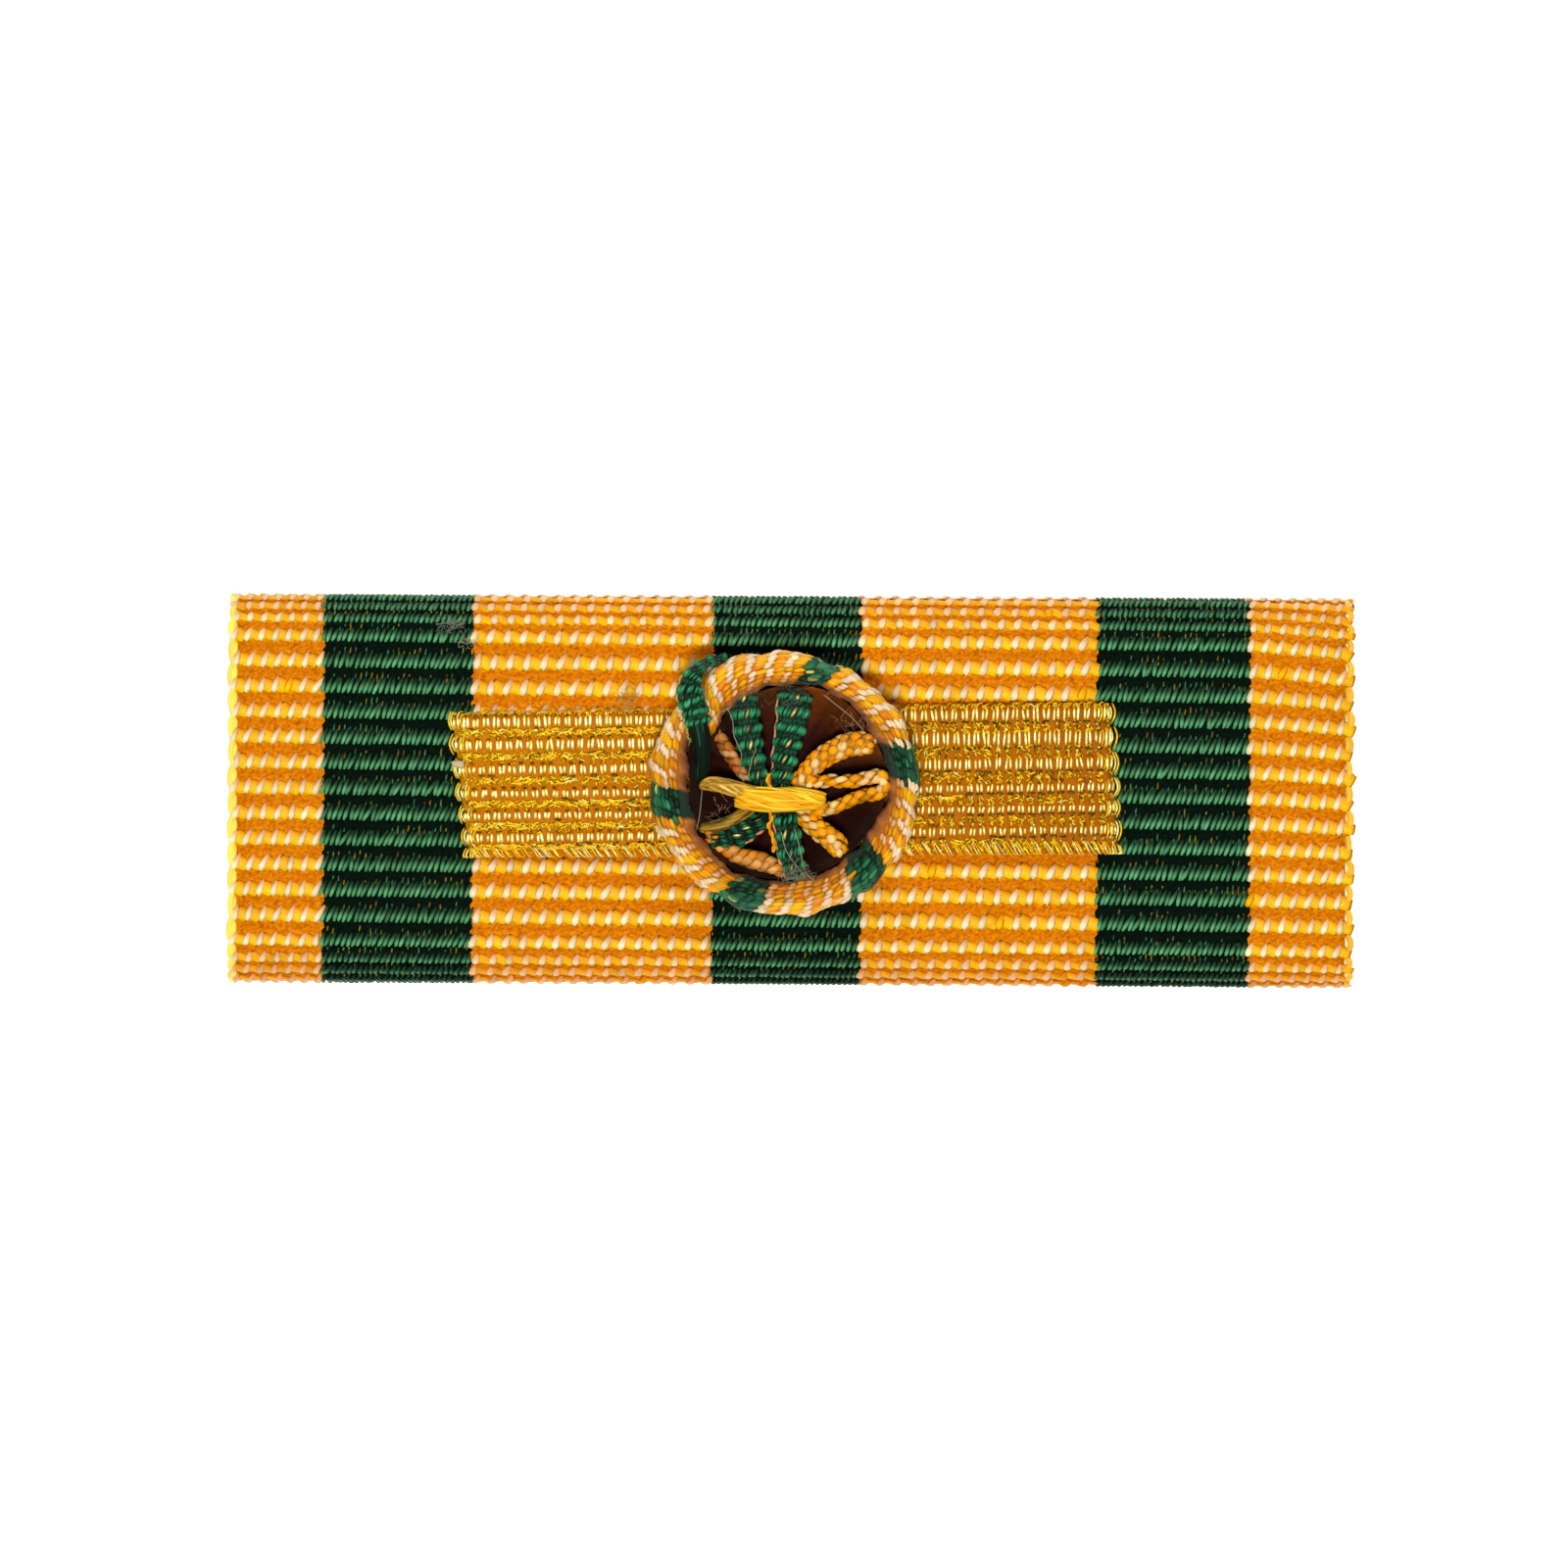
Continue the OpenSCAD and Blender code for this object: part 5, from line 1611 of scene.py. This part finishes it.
class RIBBONBAR_OT_green_pleats(PieceOperator, bpy.types.Operator):
    """Green woven pleats and the green fold over the rim's ends"""
    bl_idname = "ribbonbar.green_pleats"
    bl_label = "Green pleats"

    # Columns: name of the solid, brightness, side of the pale edge thread (0 for none), row
    # pitch in mm, relief, share of the flecks, share of the woven length
    pieces = (("overlap_fold", 0.90, 0, 0.23, 0.85, 0.0, 0.60),
              ("pleat_green_upper_left", 0.90, 0, 0.26, 1.0, 0.8, 1.0),
              ("pleat_green_upper_right", 0.95, 1, 0.26, 1.0, 0.8, 1.0),
              ("pleat_green_lower_left", 0.45, 1, 0.25, 1.0, 0.7, 1.0),
              ("pleat_green_bottom", 0.95, -1, 0.26, 1.0, 0.8, 1.0))
    yarns = 5  # side by side over a strand's crest

    def make(self, scene):
        """Makes each green strand as its own piece."""
        s = scene.ribbonbar_rosette
        place = RosettePlace(s, scene.ribbonbar_lace)
        for seed, piece in enumerate(self.pieces):
            self.pleat(s, place, seed, *piece)

    def pleat(self, s, place, seed, name, light, edge, pitch, relief, flecks, woven):
        """A nearly black core, painted shade under the yarns, and over it rows of short yarns
        that lie across the strand, in turn raised and sunk: lift = 0.06 or -0.035 times relief
        cos(pi t / 2), less 0.05 t^4. The sunk rows are darkened as painted shade and each yarn
        is lit in its middle as painted light. A yellow fleck lies on the crest of the raised
        rows."""
        table = STRANDS[name]
        sheaf = Sheaf(seed=40 + seed)
        # The nearly black core is painted shade between the yarns.
        closed_core(sheaf, place, table, np.array(s.green) * 0.035, 0.05)
        rows = max(int(place.strand_length(table) / pitch), 4)
        row, column, ply = combinations(
            np.arange(int(rows * woven)), np.arange(self.yarns + 2), [-1, 1])
        rand = sheaf.variation(len(row))
        t, swell = blunt(7, 3)
        raised = row % 2 == 0
        reach = np.where(raised, 0.66, 0.46)
        share = np.clip((row + 0.5 + reach * t + rand(0.08)) / rows, 0.004, 0.996)
        step = 180 / (self.yarns + 1)
        middle = 90 + (column - (self.yarns + 1) / 2 + 0.22 * ply) * step
        angle = middle + rand(4) + 9 * t
        lift = relief * np.where(raised, 0.06, -0.035) * np.cos(np.pi * t / 2)
        lift = lift - 0.05 * t ** 4 - 0.02 + rand(0.012)
        path, out = place.strand(table, share, angle)
        crest = (column == (self.yarns + 1) // 2) & raised
        crest = crest & (sheaf.random.random((len(row), 1)) < flecks) & (ply > 0)
        base = np.where(crest, np.array(s.fleck) * 1.15, np.array(s.green) * light)
        # Painted shade: the sunk rows at 22 %; below, painted light in the middle of each yarn.
        base = base * np.where(raised, 1.0, 0.22)
        lit = (0.22 + 0.78 * np.exp(-(t / 0.5) ** 2))[..., None]
        tint = base[:, None] * lit * np.clip(1 + rand(0.3), 0.3, 1.8)[..., None]
        wide = place.strand_width(table, share) / (self.yarns + 1) * 0.36
        wide = wide * (1 + rand(0.1))
        sheaf.threads(path + out * lift[..., None], out, wide * swell, 0.055 * swell, tint)
        if edge:
            self.edge_thread(s, place, sheaf, table, edge)
        if woven < 1:
            self.filaments(s, place, sheaf, table, woven)
            self.edge_loops(s, place, sheaf, table)
        return sheaf.make(name + "_cloth", rosette_yarn(), "green_cloth", replaces=[name])

    def edge_thread(self, s, place, sheaf, table, edge):
        """Pale selvedge along one side of a strand, with a small wave."""
        share = np.linspace(0.03, 0.97, 60)[None]
        angle = 90 - edge * (84 + 6 * np.sin(26 * share))
        path, out = place.strand(table, share, angle)
        path = path + out * (0.03 + 0.025 * np.sin(31 * share))[..., None]
        size = 0.05 * (1 + 0.35 * np.sin(47 * share)) * swelling(2 * share - 1, 8)
        sheaf.threads(path, out, size, size, np.array(s.salmon))

    def filaments(self, s, place, sheaf, table, woven):
        """Straight dark filaments along the end of a strand that isn't woven any more."""
        count, points = 34, 12
        number = np.arange(count)[:, None]
        share = woven - 0.10 + (1.09 - woven) * np.linspace(0, 1, points)[None]
        angle = 5 + 170 * number / (count - 1) + sheaf.variation(count)(5)
        angle = angle + 9 * np.sin(5 * share + number)
        path, out = place.strand(table, np.clip(share, 0, 0.998), angle, 0.10)
        path = path + out * (0.03 * np.sin(9 * share + 2 * number))[..., None]
        swell = swelling(np.linspace(-1, 1, points), 6)
        # Most filaments near black; one in seven lighter, as a painted highlight.
        bright = np.where(sheaf.random.random((count, 1, 1)) < 0.14, 0.40, 0.025)
        cold = np.array(s.green) * (0.6, 0.8, 1.0)
        sheaf.threads(path, out, 0.034 * swell, 0.03 * swell, cold * bright)

    def edge_loops(self, s, place, sheaf, table):
        """Pale loops along the outer side of the fold."""
        n = 11
        t = np.linspace(-1, 1, 7)[None]
        arch = np.cos(np.pi * t / 2)
        share = (0.24 + 0.042 * np.arange(n))[:, None] + 0.02 * t
        path, out = place.strand(table, share, 168 + 14 * arch)
        size = 0.04 * swelling(t, 3)
        pale = np.array(s.fleck) * sheaf.random.uniform(0.5, 1.1, (n, 1, 1))
        sheaf.threads(path + out * (0.05 * arch)[..., None], out, size, size, pale)


class RIBBONBAR_OT_orange_strands(PieceOperator, bpy.types.Operator):
    """Braided orange and yellow strands, and the bundle of thread across the middle"""
    bl_idname = "ribbonbar.orange_strands"
    bl_label = "Orange strands and stitch"

    def make(self, scene):
        """Makes each orange or yellow strand as its own piece."""
        s = scene.ribbonbar_rosette
        place = RosettePlace(s, scene.ribbonbar_lace)
        gold = np.array(s.yellow) * (0.98, 0.80, 1.0)
        cream = np.array(s.pale) * (1.0, 0.86, 0.50)
        amber = (gold + np.array(s.orange)) / 2
        self.braid(place, "pleat_orange_upper_right", 0.40, (amber, gold, cream), 52)
        self.braid(place, "pleat_orange_lower_right", 0.38, (gold, cream, gold), 53)
        self.braid(place, "loop_orange_right", 0.46, (gold, gold), 51, lean=0.5, spots=cream)
        self.braid(place, "pleat_orange_upper_left", 0.34, (linear("B8661C"), linear("CC8438")),
                   54, lean=0.7, spots=linear("DCA060"), relief=0.06, inset=0.06)
        self.braid(place, "tucked_end", 0.36, (linear("E08820"), linear("F0A850")),
                   55, lean=0.8, spots=linear("D87C14"), relief=0.05, inset=0.02)
        self.bundle(place, "pleat_yellow_left", 20, ("ECC458", "B88A28", "D8A83C"), 56,
                    "yellow_cloth", wave=1.6)
        self.bundle(place, "pleat_olive_left", 18, ("A88420", "6A4C08", "8A6A14"), 57,
                    "yellow_cloth", wave=1.3)
        self.bundle(place, "centre_stitch", 46, ("FFCE28", "FFAE08", "FFC018"), 58,
                    "yellow_thread", depth=0.62, twist=50, span=(0.13, 0.96))
        self.thin_thread(s, place)

    def braid(self, place, name, pitch, colours, seed, lean=0.42, spots=None,
              relief=0.075, inset=0.09):
        """Flat braid: one column of lumps for each colour side by side over the strand's crest,
        each column half a lump on from the last and each lump leaning across the strand:
        angle = column - lean t, lift = 0.07 cos(pi t / 2) - 0.06 t^4. The columns share 150
        degrees of the strand's section."""
        table = STRANDS[name]
        sheaf = Sheaf(seed=seed)
        colours = np.array(colours)
        columns = len(colours)
        # The core, the last colour at 60 %, is painted shade between the lumps.
        closed_core(sheaf, place, table, colours[-1] * 0.6, inset + 0.02)
        rows = max(int(place.strand_length(table) / pitch), 4)
        row, column = combinations(np.arange(rows), np.arange(-1, columns + 1))
        rand = sheaf.variation(len(row))
        t, swell = blunt(8, 3)
        middle = row + 0.25 + 0.5 * (column % 2)
        share = np.clip((middle + 0.48 * t + rand(0.05)) / rows, 0.004, 0.996)
        step = 150 / columns
        angle = 90 + (column - (columns - 1) / 2) * step - lean * step * t + rand(4)
        lift = 0.07 * np.cos(np.pi * t / 2) - 0.06 * t ** 4 + rand(0.015)
        path, out = place.strand(table, share, angle, inset)
        chance = sheaf.random.random
        base = colours[(column + (chance(column.shape) < 0.15)) % columns]
        if spots is not None:
            base = np.where(chance(base.shape[:2])[..., None] < 0.30, spots, base)
        lit = (0.74 + 0.26 * np.exp(-(t / 0.6) ** 2))[..., None]
        tint = base * lit * (1 + rand(0.12)[..., None])
        wide = place.strand_width(table, share) / columns * 0.66 * (1 + rand(0.12))
        sheaf.threads(path + out * lift[..., None], out, wide * swell, relief * swell, tint,
                      sides=8)
        return sheaf.make(name + "_braid", rosette_yarn(), "orange_cloth", replaces=[name])

    def bundle(self, place, name, count, codes, seed, slot, depth=None, twist=0, wave=1.0,
               span=(0, 1)):
        """Filaments laid side by side over a span of a strand's crest, each with a small wave
        of its own, all turning by the twist from one side to the other."""
        table = STRANDS[name]
        sheaf = Sheaf(seed=seed)
        rand = sheaf.variation(count)
        colours = np.array([linear(code) for code in codes])
        # The core, the second colour at 90 %, is a little painted shade under the filaments.
        closed_core(sheaf, place, table, colours[1] * 0.9, 0.04, depth,
                    (span[0] * 1.2, span[1] * 0.98))
        share = np.linspace(0, 1, 36)[None]
        number = np.arange(count)[:, None]
        angle = 90 + (230 + 2 * twist) * (number / (count - 1) - 0.5)
        angle = angle + 12 * wave * np.sin(3 * share * np.pi + number) + rand(4)
        angle = angle + twist * (2 * share - 1)
        ends = blend(*span, np.clip(share + rand(0.03), 0, 1))
        path, out = place.strand(table, ends, angle, 0.03, depth)
        ripple = wave * 0.022 * np.sin(7 * share + 2.1 * number) + rand(0.02)
        swell = swelling(2 * share - 1, 10)
        tint = colours[sheaf.random.integers(0, len(codes), count)][:, None]
        tint = tint * (1 + 0.16 * np.sin(11 * share + number)[..., None])
        sheaf.threads(path + out * ripple[..., None], out, 0.060 * swell, 0.040 * swell, tint)
        material = yarn_material("Loose silk", roughness=0.45, contrast=0.12, specular=0.2)
        return sheaf.make(name + "_threads", material, slot, replaces=[name])

    def thin_thread(self, s, place):
        """Thin two-coloured thread that comes out above the stitch and goes down below it: two
        plies round the lines of THIN_THREAD, ply = line + 0.038 (cos a, sin a), one turn to
        0.55 mm."""
        sheaf = Sheaf(seed=59)
        points, ply, one_turn = 90, 0.038, 0.55
        size = 0.044 * swelling(np.linspace(-1, 1, points), 12)
        for rows in THIN_THREAD:
            line = place.over_face(smooth_rows(rows, np.linspace(0, len(rows) - 1, points)))
            for start, colour in ((0.0, s.yellow), (np.pi, s.orange)):
                a = 2 * np.pi * distances(line)[:, None] / one_turn + start
                way = np.array([1.0, 0, 0]) * np.cos(a) + UP * np.sin(a)
                sheaf.threads((line + ply * way)[None], way[None], size, size, np.array(colour))
        return sheaf.make("thin_thread", rosette_yarn(), "orange_cloth")


class RIBBONBAR_OT_fibres(PieceOperator, bpy.types.Operator):
    """Loose fibres, lint and frayed ends"""
    bl_idname = "ribbonbar.fibres"
    bl_label = "Loose fibres"

    def make(self, scene):
        """Thin threads on smooth curves through a few points each, and a pale flake on the
        lace's left end."""
        place = RosettePlace(scene.ribbonbar_rosette, scene.ribbonbar_lace)
        sheaf = Sheaf(seed=61)
        for rows in FIBRES.values():
            path = place.over_face(smooth_rows(rows, np.linspace(0, len(rows) - 1, 24)))
            sheaf.threads(path[None], UP, 0.013, 0.013, linear("B4A078"), sides=5)
        self.fuzz(sheaf, place)
        flake = place.over_face(np.array(FLAKE))
        sheaf.threads(flake[None], UP, np.array([0, 0.09, 0.13, 0.15, 0]), 0.012,
                      linear("C8B080"))
        return sheaf.make("loose_fibres", yarn_material("Lint", roughness=0.6, sheen=0.3),
                          "rosette_cloth")

    def fuzz(self, sheaf, place):
        """Frayed ends: short curved fibres scattered round the places of FUZZ, each the line
        start + way t + bend 4 t (1 - t)."""
        rand = sheaf.random.normal
        t = np.linspace(0, 1, 7)[None, :, None]
        size = 0.009 * swelling(2 * t[..., 0] - 1, 6)
        for x, y, height, reach, count, code in FUZZ:
            start = (x, y, height) + rand(0, 1, (count, 3)) * (0.5 * reach, 0.35 * reach, 0.12)
            way = rand(0, 1, (count, 1, 3)) * (1, 1, 0.35) * reach * 0.5
            bend = rand(0, 1, (count, 1, 3)) * (1, 1, 0.3) * reach * 0.25
            path = place.over_face(start[:, None] + way * t + bend * (t * (1 - t) * 4))
            tint = np.array(linear(code)) * sheaf.random.uniform(0.4, 1.2, (count, 1, 1))
            sheaf.threads(path, UP, size, size, tint, sides=4)


class RIBBONBAR_OT_brass(PieceOperator, bpy.types.Operator):
    """Brass finish of the backing bar and the brooch pin"""
    bl_idname = "ribbonbar.brass"
    bl_label = "Brass"

    def make(self, scene):
        """Gives the two brass solids their material."""
        finishes = (("backing_bar", "Rolled brass", (0.56, 0.35, 0.11), 0.42),
                    ("brooch_pin", "Pin brass", (0.66, 0.44, 0.16), 0.30))
        for node, name, colour, roughness in finishes:
            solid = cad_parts[node]
            solid.data.materials.clear()
            solid.data.materials.append(brass_material(name, colour, roughness))


OPERATORS = (RIBBONBAR_OT_stage, RIBBONBAR_OT_ribbon, RIBBONBAR_OT_lace, RIBBONBAR_OT_rim,
             RIBBONBAR_OT_green_pleats, RIBBONBAR_OT_orange_strands, RIBBONBAR_OT_fibres,
             RIBBONBAR_OT_brass)
SETTINGS = {"ribbonbar_ribbon": RibbonSettings, "ribbonbar_lace": LaceSettings,
            "ribbonbar_rosette": RosetteSettings, "ribbonbar_stage": StageSettings}


class RIBBONBAR_PT_panel(bpy.types.Panel):
    """Sidebar panel that lists the pieces and their settings"""
    bl_idname = "RIBBONBAR_PT_panel"
    bl_label = "Ribbon bar"
    bl_space_type = "VIEW_3D"
    bl_region_type = "UI"
    bl_category = "Ribbon bar"

    def draw(self, context):
        """Lists the operators, then every setting."""
        for operator in OPERATORS:
            self.layout.operator(operator.bl_idname)
        for name, kind in SETTINGS.items():
            box = self.layout.box()
            settings = getattr(context.scene, name)
            for key in kind.__annotations__:
                box.prop(settings, key)


def register():
    """Adds the settings, operators and panel."""
    for name, kind in SETTINGS.items():
        bpy.utils.register_class(kind)
        setattr(bpy.types.Scene, name, bpy.props.PointerProperty(type=kind))
    for kind in (*OPERATORS, RIBBONBAR_PT_panel):
        bpy.utils.register_class(kind)


def unregister():
    """Takes the panel, operators and settings away again."""
    for kind in (RIBBONBAR_PT_panel, *reversed(OPERATORS)):
        bpy.utils.unregister_class(kind)
    for name, kind in SETTINGS.items():
        delattr(bpy.types.Scene, name)
        bpy.utils.unregister_class(kind)


def main():
    """Makes every piece in order."""
    register()
    for operator in OPERATORS:
        group_name, name = operator.bl_idname.split(".")
        getattr(getattr(bpy.ops, group_name), name)()


if __name__ == "__main__":
    main()
